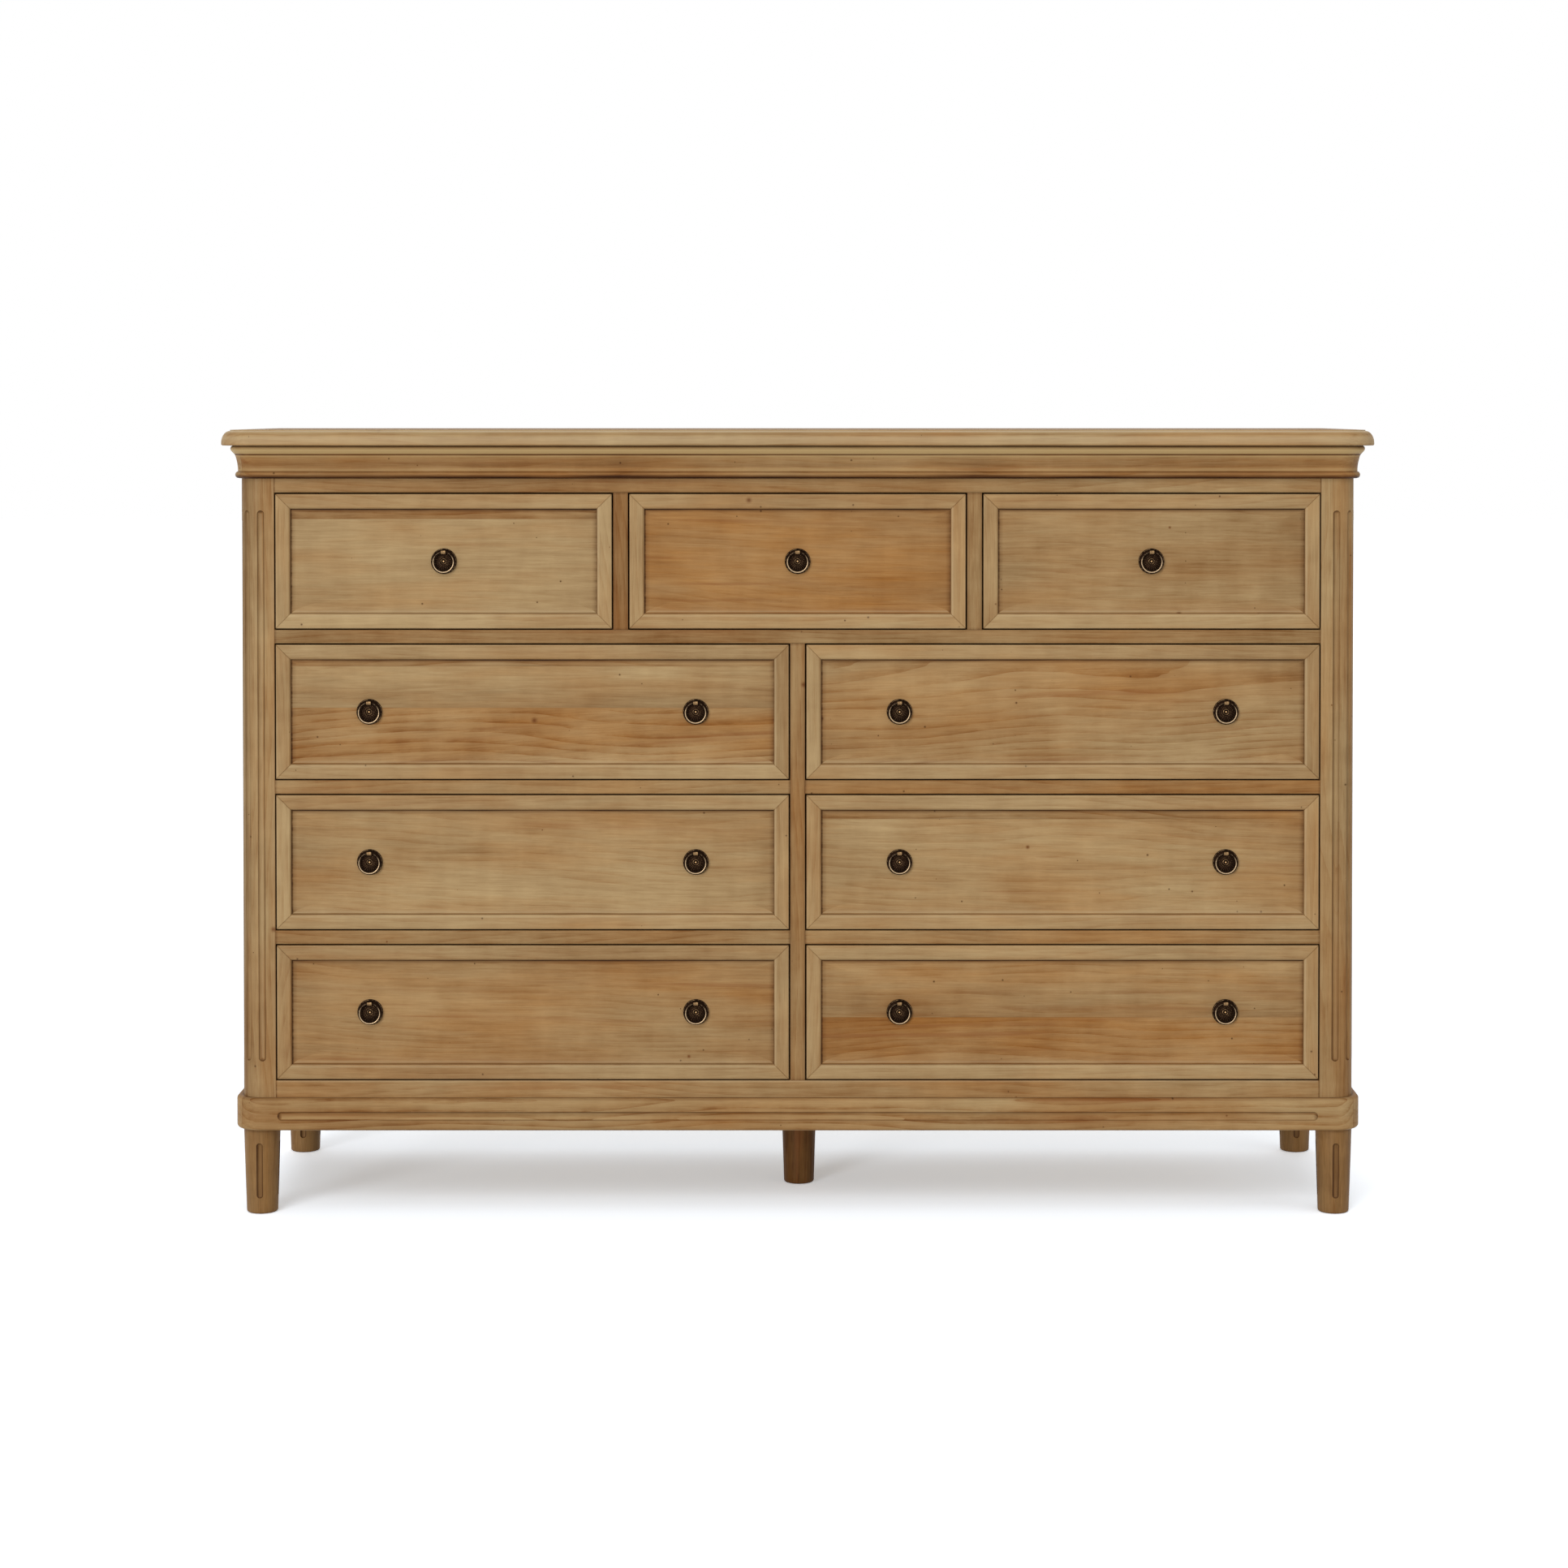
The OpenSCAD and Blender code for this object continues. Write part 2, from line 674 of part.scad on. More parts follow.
// A drawer box: board behind the front, two sides, back and bottom
module drawer_box(d) {
    w = d[3] - 2 * guide_gap;
    z = drawer_z(d) + run_gap;
    inner = w / 2 - box_side_t;
    y1 = box_y + subfront_t;
    y2 = box_y + box_l;
    bottom_z = z + bottom_rise;
    color("#c2a57a") translate([drawer_x(d), 0, 0]) {
        difference() {
            slab(-w / 2, w / 2, box_y, y1, z, z + box_h);
            for (side = ["left", "right"]) on_side(side)
                slab(-w / 2 - EPS, -inner + glue, y1 - side_lap - glue, y1 + EPS, z - EPS, z + box_h + EPS);
            box_bottom(inner, bottom_z, glue);
            translate([0, front_y, drawer_mid_z(d)]) screw_holes(d, front_t + subfront_t);
        }
        for (side = ["left", "right"]) on_side(side) difference() {
            slab(-w / 2, -inner, y1 - side_lap, y2, z, z + box_h);
            box_bottom(inner, bottom_z, glue);
        }
        slab(-inner + glue, inner - glue, y2 - box_side_t, y2,
            bottom_z + bottom_t + glue, z + box_h - box_back_drop);
        box_bottom(inner, bottom_z, 0);
    }
}

// The drawer bottom, or with room around it the space of the grooves that hold it
module box_bottom(inner, bottom_z, room) {
    reach = bottom_groove - glue + room;
    slab(-inner - reach, inner + reach, box_y + subfront_t - reach, box_y + box_l + EPS * sign(room),
        bottom_z - room, bottom_z + bottom_t + room);
}

// Backplates of one drawer, each with its lug, screw and nut
module pull_plates(d) {
    hole_r = wire_d / 2 + wire_gap;
    dip_z = plate_crown - crown_dip;
    screw_l = front_t - panel_recess + subfront_t + nut_t + screw_tail;
    nut_y = box_y + subfront_t;
    color("#3a2f26") for (p = pull_places(d)) translate([drawer_x(d) + p[1], 0, drawer_mid_z(d)]) {
        translate([0, panel_y, 0]) difference() {
            union() {
                rotate([90, 0, 0]) rotate_extrude() polygon(concat(
                    [[0, 0], [plate_r, 0], [plate_r, plate_rim_t / 2],
                        [plate_r - plate_rim_t / 2, plate_rim_t], [crown_r, plate_crown],
                        [(crown_r + bead_r) / 2, dip_z]],
                    [for (i = [0:STEPS]) let (a = 90 * i / STEPS)
                        [bead_r * cos(a), dip_z + (plate_bead - dip_z) * sin(a)]]
                ));
                slab(-lug_l / 2, lug_l / 2, -pivot_out, 0, pivot_up - hole_r, pivot_up + hole_r);
                translate([-lug_l / 2, -pivot_out, pivot_up]) rotate([0, 90, 0])
                    cylinder(r = lug_r, h = lug_l);
                translate([0, screw_l, 0]) rotate([90, 0, 0]) cylinder(r = screw_r, h = screw_l);
            }
            translate([-lug_l / 2 - EPS, -pivot_out, pivot_up]) rotate([0, 90, 0])
                cylinder(r = hole_r, h = lug_l + 2 * EPS);
        }
        translate([0, nut_y + nut_t, 0]) rotate([90, 0, 0]) difference() {
            cylinder(r = nut_r, h = nut_t, $fn = 6);
            translate([0, 0, -EPS]) cylinder(r = screw_r + pin_gap, h = nut_t + 2 * EPS);
        }
    }
}

// A ring, hanging straight down from its pivot
module pull_ring(x, z) {
    color("#2e241c") translate([x, pivot_y, z + pivot_up - ring_r])
        rotate([90, 0, 0]) rotate_extrude() translate([ring_r, 0]) circle(r = wire_d / 2);
}

top_panel();
cornice_moulding();
base_moulding();
front_post("left");  // front_left_post
front_post("right");  // front_right_post
back_post("left");  // back_left_post
back_post("right");  // back_right_post
side_panel("left");  // left_side_panel
side_panel("right");  // right_side_panel
back_panel();
top_rail();
row_rails();
bottom_rail();
front_dividers();
runner_frames();
drawer_guides();
corner_legs();
centre_leg();
for (d = DRAWERS) {
    drawer_front(d);
    drawer_box(d);
    pull_plates(d);
}
for (r = RINGS) pull_ring(r[1], r[2]);
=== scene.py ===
# %% [markdown]
# # A nine-drawer dresser in waxed pine
# The joiner's model of the dresser comes first: it gives every piece its place and every drawer its run.
# The lesson then dresses that model piece by piece, so each cell asks where the piece sits and builds on it.

# %% Load the joiner's model
import math
import random
from collections import namedtuple

import bmesh
import bpy
from mathutils import Matrix, Vector


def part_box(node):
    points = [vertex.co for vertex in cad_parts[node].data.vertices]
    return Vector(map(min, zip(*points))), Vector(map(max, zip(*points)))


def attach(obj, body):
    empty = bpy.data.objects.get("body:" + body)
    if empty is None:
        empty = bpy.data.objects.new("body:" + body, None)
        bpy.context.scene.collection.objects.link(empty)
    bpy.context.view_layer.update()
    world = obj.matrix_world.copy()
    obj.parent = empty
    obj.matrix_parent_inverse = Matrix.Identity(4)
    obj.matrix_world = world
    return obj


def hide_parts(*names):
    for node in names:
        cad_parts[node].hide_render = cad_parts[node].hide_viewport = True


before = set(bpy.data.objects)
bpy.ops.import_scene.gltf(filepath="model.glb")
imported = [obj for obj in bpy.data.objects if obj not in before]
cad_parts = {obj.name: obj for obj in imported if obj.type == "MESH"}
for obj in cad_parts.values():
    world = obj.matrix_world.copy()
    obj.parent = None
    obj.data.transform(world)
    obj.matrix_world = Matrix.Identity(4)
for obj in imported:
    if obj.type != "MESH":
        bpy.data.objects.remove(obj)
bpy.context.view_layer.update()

MM = 0.001


def corners(node):
    """The low and the high corner of one of the joiner's pieces, in mm."""
    return [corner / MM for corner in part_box(node)]


# %% [markdown]
# ## Camera
# Furniture is photographed square on, from far away with a long lens, so that its uprights stay parallel.
# The camera could be tilted until the dresser fills the frame, but its sides would then lean inwards.
# A view camera shifts its film instead, and a small tilt keeps the shift modest, so this one does both.

# %% Camera
PHOTO_PX = 1932
FOCAL_PX = 3986
AXIS_PX = (1017.5, 588.8)
SENSOR = 36
TILT = math.radians(1.2)
LENS_AT = (41.6, -4982, 1191.7)

camera = bpy.data.objects.new("camera", bpy.data.cameras.new("camera"))
camera.data.sensor_width = SENSOR
camera.data.lens = FOCAL_PX / PHOTO_PX * SENSOR
camera.data.shift_x = (PHOTO_PX / 2 - AXIS_PX[0]) / PHOTO_PX
camera.data.shift_y = (AXIS_PX[1] - PHOTO_PX / 2) / PHOTO_PX
camera.location = [place * MM for place in LENS_AT]
camera.rotation_euler = (math.pi / 2 - TILT, 0, 0)
bpy.context.scene.collection.objects.link(camera)
bpy.context.scene.camera = camera
bpy.context.scene.view_settings.view_transform = "Standard"
print("lens", round(camera.data.lens, 1), "mm, shift", round(camera.data.shift_y, 3))

# %% [markdown]
# ## Colours and nodes
# Colours are easiest to pick as the hex codes of a screen, but light adds up only in linear values,
# so one function turns every code to linear. Materials are graphs of nodes, and one more function
# adds a node with its settings and what feeds it, so that a graph reads like a list of steps.

# %% Colours and nodes
def linear(code):
    """A hex code of the screen as linear red, green and blue, and 1 for solid."""
    channels = [int(code[i:i + 2], 16) / 255 for i in (1, 3, 5)]
    return (*[c / 12.92 if c <= 0.04045 else ((c + 0.055) / 1.055) ** 2.4 for c in channels], 1)


def add(tree, kind, inputs=None, **settings):
    """Adds a node and gives its outputs. An input that is another node's output is linked,
    and any other is its value."""
    made = tree.nodes.new("ShaderNode" + kind)
    for name, value in settings.items():
        setattr(made, name, value)
    for socket, value in (inputs or {}).items():
        if isinstance(value, bpy.types.NodeSocket):
            tree.links.new(value, made.inputs[socket])
        else:
            made.inputs[socket].default_value = value
    return made.outputs


print("pale pine is", [round(c, 3) for c in linear("#bda27a")])

# %% [markdown]
# ## Studio
# The dresser stands in a white studio, and the white room sends light back from everywhere. Since the
# light from a room should not depend on what the camera sees of it, both the room and the floor have
# two strengths: one for the eye, also in a mirror or through glass, and one for the light that falls.

# %% The room
ROOM_LIGHT = 0.29


def seen_directly(tree):
    """1 where the camera looks, also by way of a mirror or glass, and 0 where light falls."""
    rays = add(tree, "LightPath")
    mirrored = add(tree, "Math", {0: rays["Is Camera Ray"], 1: rays["Is Glossy Ray"]}, operation="MAXIMUM")
    return add(tree, "Math", {0: mirrored[0], 1: rays["Is Transmission Ray"]}, operation="MAXIMUM")[0]


world = bpy.data.worlds.new("white_room")
bpy.context.scene.world = world
world.use_nodes = True
room = world.node_tree
strength = add(room, "MapRange", {"Value": seen_directly(room), "To Min": ROOM_LIGHT, "To Max": 1.0})
room.links.new(strength[0], room.nodes["Background"].inputs["Strength"])
room.nodes["Background"].inputs["Color"].default_value = linear("#ffffff")
print("the room lights the dresser at", ROOM_LIGHT)

# %% [markdown]
# The floor could be lit until it burns out to white, but the wood would burn out with it. So the floor
# that lights the wood is plain white paint, and the floor that the camera sees takes more light and
# glows a little: it comes out white, and still takes the soft shadow under the case.

# %% The floor
# Common name: white floor paint, rolled. To the eye: even and matt.
FLOOR_SPAN = 60
FLOOR_GLOW = 0.33
FLOOR_GAIN = 1.8

floor_paint = bpy.data.materials.new("white_studio_floor")
floor_paint.use_nodes = True
tree = floor_paint.node_tree
tree.nodes.remove(tree.nodes["Principled BSDF"])
seen = seen_directly(tree)
plain = add(tree, "BsdfDiffuse", {"Color": linear("#dedede")})
sunlit = add(tree, "BsdfDiffuse", {"Color": [FLOOR_GAIN * c for c in linear("#dfe6ee")[:3]] + [1]})
glow = add(tree, "Emission", {"Strength": FLOOR_GLOW})
glowing = add(tree, "AddShader", {0: sunlit[0], 1: glow[0]})
paint = add(tree, "MixShader", {0: seen, 1: plain[0], 2: glowing[0]})
tree.links.new(paint[0], tree.nodes["Material Output"].inputs["Surface"])

sheet = bmesh.new()
bmesh.ops.create_grid(sheet, x_segments=8, y_segments=8, size=FLOOR_SPAN / 2)
floor_mesh = bpy.data.meshes.new("studio_floor")
sheet.to_mesh(floor_mesh)
sheet.free()
floor_mesh.materials.append(floor_paint)
floor = bpy.data.objects.new("studio_floor", floor_mesh)
floor.location.z = -0.2 * MM
bpy.context.scene.collection.objects.link(floor)
print("floor:", FLOOR_SPAN, "m wide")

# %% [markdown]
# The key light comes from the left in front and falls only a little from above. A softer one fills from
# the right, one comes from above in front, and two wide ones stand for the white ceiling: they make the
# soft shadow under the case. Area lamps would leave the far floor grey, so these are suns, as even as
# daylight and blurred as by a large window.

# %% Lamps
# Where each lamp shines from, as (degrees left of the front, degrees up), how soft, how bright
LAMPS = {
    "key_lamp": ((30, 8), 20, 1.32),
    "fill_lamp": ((-60, 10), 50, 0.58),
    "front_lamp": ((14, 38), 20, 0.50),
    "ceiling_front": ((0, 62), 44, 0.34),
    "ceiling_back": ((180, 58), 44, 0.45),
}
for name, ((left, up), soft, bright) in LAMPS.items():
    lamp = bpy.data.objects.new(name, bpy.data.lights.new(name, "SUN"))
    lamp.data.angle = math.radians(soft)
    lamp.data.energy = bright
    lamp.rotation_euler = (math.radians(90 - up), 0, math.radians(-left))
    lamp.location = (0, 0, 3)
    bpy.context.scene.collection.objects.link(lamp)
print("lamps:", ", ".join(LAMPS))

# %% [markdown]
# ## Boards
# A real board is cut from a log, and its figure is the log's rings met by the saw. Painting lines on each
# face separately would never meet at the corners. Here every corner of every face instead remembers
# where it lay in the log: how far along the fibres, how far across, and how deep. The wood material reads
# that place, so the figure runs through mouldings, legs and mitres as it does in solid timber.
# Each corner also keeps its board's own colour and how much glaze, wear, painted shade and painted highlight
# sit on it.

# %% Boards
AXES = {"x": Vector((1, 0, 0)), "y": Vector((0, 1, 0)), "z": Vector((0, 0, 1))}
LOG_M = 20
# How far aside and how deep the log's middle lies in mm, how far that strays, and how far the saw does
LOG_HEART, HEART_STRAY, SAW_STRAY = (120, 60), (25, 15), 0.5
Board = namedtuple("Board", "along across through start shade amber figure")


def saw_board(name, along, facing, shade, amber, figure=0.35, slope=0.0, heart=LOG_HEART):
    """A board whose fibres run along one axis and whose wide face looks along another one.
    Shade goes from pale to dark, amber from straw to orange, figure from plain to bold rings;
    slope tilts the fibres in degrees; heart is how far aside and how deep the log's middle lies in mm."""
    dice = random.Random(name)
    turn = Matrix.Rotation(math.radians(slope + dice.uniform(-SAW_STRAY, SAW_STRAY)), 3, AXES[facing])
    start = [dice.uniform(0, LOG_M)]
    start += [(place + dice.uniform(-stray, stray)) * MM for place, stray in zip(heart, HEART_STRAY)]
    across = AXES[facing].cross(AXES[along])
    return Board(turn @ AXES[along], turn @ across, AXES[facing], Vector(start), shade, amber, figure)


def lay_grain(bm, faces, board):
    """Writes the place in the log and the finish on each corner of these faces."""
    grain = bm.loops.layers.float_vector["grain"]
    finish_and_shading = bm.loops.layers.float_vector["finish_and_shading"]
    figure = bm.loops.layers.float["figure"]
    wax_and_shading = bm.verts.layers.float["wax_and_shading"]
    points = [v.co for face in faces for v in face.verts]
    middle = sum(points, Vector()) / len(points)
    for face in faces:
        for corner in face.loops:
            p = corner.vert.co - middle
            place = Vector((p.dot(board.along), p.dot(board.across), p.dot(board.through)))
            corner[grain] = place + board.start
            # Its third value is this point's wax and wear, together with its painted light and shade
            corner[finish_and_shading] = (board.shade, board.amber, corner.vert[wax_and_shading])
            corner[figure] = board.figure


print("a board on the x axis runs", saw_board("test", "x", "y", 0, 0).along[:])

# %% [markdown]
# Every piece is made of skins. A skin joins rings of points, such as the sections of a moulding, and
# each point says how much dark wax and painted shade lie there, and below 0 how much pale wear and
# painted highlight: 1 in a glazed corner in shade, 0 on a plain face, -1 on an edge that is rubbed pale
# and painted lit. A value on the points is sharp where the wax and the painted light and shade are.

# %% Skins
def new_piece():
    bm = bmesh.new()
    bm.verts.layers.float.new("wax_and_shading")
    bm.loops.layers.float_vector.new("grain")
    bm.loops.layers.float_vector.new("finish_and_shading")
    bm.loops.layers.float.new("figure")
    return bm


def skin(bm, rings, board, closed=False):
    """Joins rings of (x, y, z, dirt) points in mm, with a lid on each end unless it closes on itself."""
    wax_and_shading = bm.verts.layers.float["wax_and_shading"]
    rows = []
    for ring in rings:
        rows.append([bm.verts.new(Vector(point[:3]) * MM) for point in ring])
        for vertex, point in zip(rows[-1], ring):
            vertex[wax_and_shading] = point[3]
    faces = []
    for lower, upper in zip(rows, rows[1:] + rows[:1] if closed else rows[1:]):
        for i in range(len(lower)):
            faces.append(bm.faces.new((lower[i - 1], lower[i], upper[i], upper[i - 1])))
    if not closed:
        faces += [bm.faces.new(rows[0][::-1]), bm.faces.new(rows[-1])]
    lay_grain(bm, faces, board)
    return faces


rings = [[(0, 0, z, 0), (1, 0, z, 0), (1, 1, z, 0), (0, 1, z, 0)] for z in (0, 1)]
test_board = saw_board("test", "x", "y", 0, 0)
print("two rings of four points make", len(skin(new_piece(), rings, test_board)), "faces")

# %% Finish a piece
SHARP = math.radians(38)


def finish_piece(bm, name, material, node, body="case"):
    """Turns the skins to an object that rides on a body and stands for the joiner's node."""
    bmesh.ops.recalc_face_normals(bm, faces=bm.faces)
    for face in bm.faces:
        face.smooth = True
    for edge in bm.edges:
        edge.smooth = len(edge.link_faces) == 2 and edge.calc_face_angle(0) < SHARP
    mesh = bpy.data.meshes.new(name)
    bm.to_mesh(mesh)
    bm.free()
    mesh.materials.append(material)
    piece = bpy.data.objects.new(name, mesh)
    bpy.context.scene.collection.objects.link(piece)
    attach(piece, body)
    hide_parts(node)
    print(name, "has", len(mesh.polygons), "faces")


print("edges sharper than", round(math.degrees(SHARP)), "degrees stay crisp")

# %% [markdown]
# Most boards are planks with their long edges eased by hand, which is what catches the light. A bevel
# modifier could ease them, but it couldn't tell the eased edge, rubbed pale with a painted highlight,
# from the faces, or the sides that meet a drawer and hold dark wax and painted shade. So a plank is
# skinned from its own section.

# %% Rounds
def arc(x, y, r, start, end, steps):
    """Points on a round, from one angle to another in degrees."""
    angles = [math.radians(start + (end - start) * i / steps) for i in range(steps + 1)]
    return [(x + r * math.cos(a), y + r * math.sin(a)) for a in angles]


def waxed_and_shaded_arc(x, y, r, start, end, wax):
    """A round whose points carry their wax, wear and painted light and shade."""
    return [(*point, wax_and_shading) for point, wax_and_shading in zip(arc(x, y, r, start, end, len(wax) - 1), wax)]


def stronger(*values):
    return max(values, key=abs)


print("a quarter round in 2 steps:", [[round(c, 2) for c in point] for point in arc(0, 0, 1, 0, 90, 2)])

# %% Planks
def plank_section(low, high, p, q, ease, rim, edge, gap):
    """The outline of a plank across its axes p and q, as (p, q, its wax and shading). The gap's dark wax
    and painted shade lie on its sides, just behind the front edge."""
    section = []
    for turn, (end_p, end_q) in enumerate([(high, high), (low, high), (low, low), (high, low)]):
        out_p = 1 if end_p is high else -1
        out_q = 1 if end_q is high else -1
        in_front = gap > 0 and (end_p if p == 1 else end_q) is low
        on_p = (end_p[p], end_q[q] - out_q * rim, in_front and p != 1)
        on_q = (end_p[p] - out_p * rim, end_q[q], in_front and q != 1)
        before, after = (on_q, on_p) if turn % 2 else (on_p, on_q)
        wax = [gap if before[2] else edge, edge, edge, gap if after[2] else edge]
        section.append((*before[:2], gap if before[2] else 0))
        section += waxed_and_shaded_arc(end_p[p] - out_p * ease, end_q[q] - out_q * ease, ease,
                             90 * turn, 90 * turn + 90, wax)
        section.append((*after[:2], gap if after[2] else 0))
    return section


def plank(bm, low, high, board, ease=1.0, edge=-0.25, ends=0.5, fade=4.0, gap=0.0):
    """A planed board between two corners in mm. Edge, ends and gap are the wax, wear and painted light and
    shade on its long edges, on its ends and on the sides that meet the front, as between rail and drawer."""
    length = max(range(3), key=lambda i: abs(board.along[i]))
    p, q = [i for i in range(3) if i != length]
    half = min(high[p] - low[p], high[q] - low[q]) / 2
    ease = min(ease, 0.4 * half)
    section = plank_section(low, high, p, q, ease, min(ease + fade, 0.9 * half), edge, gap)
    first, last = low[length], high[length]
    fade = min(fade, 0.3 * (last - first))
    rings = []
    for place, at_end in ((first, ends), (first + fade, 0), (last - fade, 0), (last, ends)):
        ring = []
        for u, v, wax_and_shading in section:
            point = [0, 0, 0, stronger(wax_and_shading, at_end)]
            point[length], point[p], point[q] = place, u, v
            ring.append(point)
        rings.append(ring)
    skin(bm, rings, board)


print("a plank's section has", len(plank_section((0, 0, 0), (9, 9, 9), 0, 1, 1, 3, 0, 0)), "points")

# %% [markdown]
# Wide panels are glued from several boards. They could be built as separate boards, but the seam of a
# glued panel is closed and shows only as a fine line of wax and a change of wood. So the panel's skin
# is cut where its boards meet, the cut is waxed, and each board gets its own grain.

# %% Glue joints
def glue_boards(bm, faces, axis, joints, boards, wax, seam):
    """Cuts a skin where its boards meet along an axis, and waxes a seam that fades over a few mm."""
    wax_and_shading = bm.verts.layers.float["wax_and_shading"]
    for joint in joints:
        for offset in (-seam, 0, seam):
            rims = {edge for face in faces for edge in face.edges}
            points = {vertex for face in faces for vertex in face.verts}
            made = bmesh.ops.bisect_plane(bm, geom=[*faces, *rims, *points], plane_no=AXES[axis],
                                          plane_co=AXES[axis] * ((joint + offset) * MM))
            faces = [item for item in made["geom"] if isinstance(item, bmesh.types.BMFace)]
            for item in made["geom_cut"]:
                if isinstance(item, bmesh.types.BMVert) and offset == 0:
                    item[wax_and_shading] = max(item[wax_and_shading], wax)
    ends = [-math.inf, *[joint * MM for joint in joints], math.inf]
    for board, start, end in zip(boards, ends, ends[1:]):
        lay_grain(bm, [f for f in faces if start < f.calc_center_median().dot(AXES[axis]) < end], board)


print("a cut runs along each joint and along both sides of it")

# %% [markdown]
# ## Waxed pine
# The wood looks like pine from an old house: sawn, planed by hand, stained honey brown, glazed with
# a dark wax that stays in the corners, and rubbed until the edges shine pale. Shade is also painted into
# its corners, gaps and ledges, and highlights onto its edges. An image would repeat, so the wood is
# worked out instead. Rings round the heart give the flames and lines, and noise that is stretched along
# the fibres gives bands, streaks and pores. Real fibres are far too fine to see from five metres, so
# the finest streaks are drawn many times coarser than they are.

# %% Streaks along the fibres
# What it is: (length in mm, width in mm, detail, roughness, weight in the tone)
# Fibres are 0.04 mm wide and drawn 45 times coarser, or they would blur to nothing.
STREAKS = {
    "drift": (560, 130, 3.0, 0.55, 0.75),
    "cloud": (110, 34, 5.0, 0.66, 0.50),
    "curl": (30, 90, 3.0, 0.5, 0.30),
    "band": (190, 6, 4.0, 0.65, 0.35),
    "fibre": (44, 1.8, 2.0, 0.6, 0.46),
}


def streaks(tree, grain, length, width, detail=2.0, roughness=0.5):
    """Noise drawn out along the fibres. Length and width are the size of its streaks in mm."""
    size = (1 / (length * MM), 1 / (width * MM), 1 / (width * MM))
    drawn = add(tree, "Mapping", {"Vector": grain, "Scale": size})
    return add(tree, "TexNoise", {"Vector": drawn[0], "Scale": 1.0, "Detail": detail,
                                  "Roughness": roughness})["Fac"]


print("streaks:", ", ".join(STREAKS))

# %% Year rings
RING_SPACING = 9
# How the rings wander: (times per metre along, times per metre across, detail, how far in mm)
WANDER = ((1.5, 5, 1.0, 110), (7, 45, 2.0, 7))


def year_rings(tree, grain):
    """Dark late wood: each ring darkens slowly and then ends at once."""
    bent = grain
    for along, across, detail, far in WANDER:
        drawn = add(tree, "Mapping", {"Vector": grain, "Scale": (along, across, across)})
        noise = add(tree, "TexNoise", {"Vector": drawn[0], "Scale": 1.0, "Detail": detail})
        bent = add(tree, "VectorMath", {0: noise["Color"], 1: (0, far * MM, far * MM), 2: bent},
                   operation="MULTIPLY_ADD")[0]
    rings = add(tree, "TexWave", {"Vector": bent, "Scale": math.tau / (20 * RING_SPACING * MM)},
                wave_type="RINGS", rings_direction="X", wave_profile="SAW")
    return add(tree, "Math", {0: rings["Fac"], 1: 2.6}, operation="POWER")[0]


print("a ring is", RING_SPACING, "mm wide")

# %% Tone of the wood
LATE_WOOD = 0.42


def wood_tone(tree, grain, tone, figure, contrast):
    """How dark the wood is: the board's own tone, its streaks and its late wood, which comes in patches."""
    streak = {}
    for part, (length, width, detail, rough, weight) in STREAKS.items():
        streak[part] = streaks(tree, grain, length, width, detail, rough)
        centred = add(tree, "Math", {0: streak[part], 1: 0.5}, operation="SUBTRACT")
        tone = add(tree, "Math", {0: centred[0], 1: weight * contrast, 2: tone}, operation="MULTIPLY_ADD")[0]
    late = add(tree, "Math", {0: year_rings(tree, grain), 1: figure}, operation="MULTIPLY")
    patchy = add(tree, "MapRange", {"Value": streak["cloud"], "From Min": 0.35, "From Max": 0.6})
    late = add(tree, "Math", {0: late[0], 1: patchy[0]}, operation="MULTIPLY")[0]
    tone = add(tree, "Math", {0: late, 1: LATE_WOOD, 2: tone}, operation="MULTIPLY_ADD")[0]
    return tone, late, streak


print("late wood darkens the tone by up to", LATE_WOOD)

# %% Colour of the wood
RED_HEART = "#85522a"


def wood_colour(tree, grain, tone, warmth, late, straw, amber):
    """Straw and amber are each a pair of colours, from pale to dark. The late wood is warmer, warm
    zones drift along the board, and reddish heart streaks show in them."""
    warmer = streaks(tree, grain, 330, 62, 3.0, 0.6)
    warmer = add(tree, "Math", {0: warmer, 1: 1.7, 2: -0.85}, operation="MULTIPLY_ADD")
    warmer = add(tree, "Math", {0: late, 1: 0.55, 2: warmer[0]}, operation="MULTIPLY_ADD")
    warmth = add(tree, "Math", {0: warmth, 1: warmer[0]}, operation="ADD", use_clamp=True)[0]
    straws = add(tree, "Mix", {0: tone, 6: linear(straw[0]), 7: linear(straw[1])}, data_type="RGBA")
    ambers = add(tree, "Mix", {0: tone, 6: linear(amber[0]), 7: linear(amber[1])}, data_type="RGBA")
    wood = add(tree, "Mix", {0: warmth, 6: straws[2], 7: ambers[2]}, data_type="RGBA")
    heart = streaks(tree, grain, 480, 13, 2.0)
    heart = add(tree, "MapRange", {"Value": heart, "From Min": 0.58, "From Max": 0.74, "To Max": 0.75},
                interpolation_type="SMOOTHSTEP")
    heart = add(tree, "Math", {0: heart[0], 1: warmth}, operation="MULTIPLY", use_clamp=True)
    return add(tree, "Mix", {0: heart[0], 6: wood[2], 7: linear(RED_HEART)}, data_type="RGBA")[2]


print("heart streaks are", [round(c, 3) for c in linear(RED_HEART)[:3]])

# %% Knots and specks
# What it is: (cell in mm, share of the cells that hold one, its largest reach in cells, colour)
# A pin knot fades out within 8 mm and a speck within 3 mm.
SPOTS = {"pin knot": (120, 0.28, 0.07, "#6b3d18"), "speck": (34, 0.12, 0.09, "#4a2a0e")}


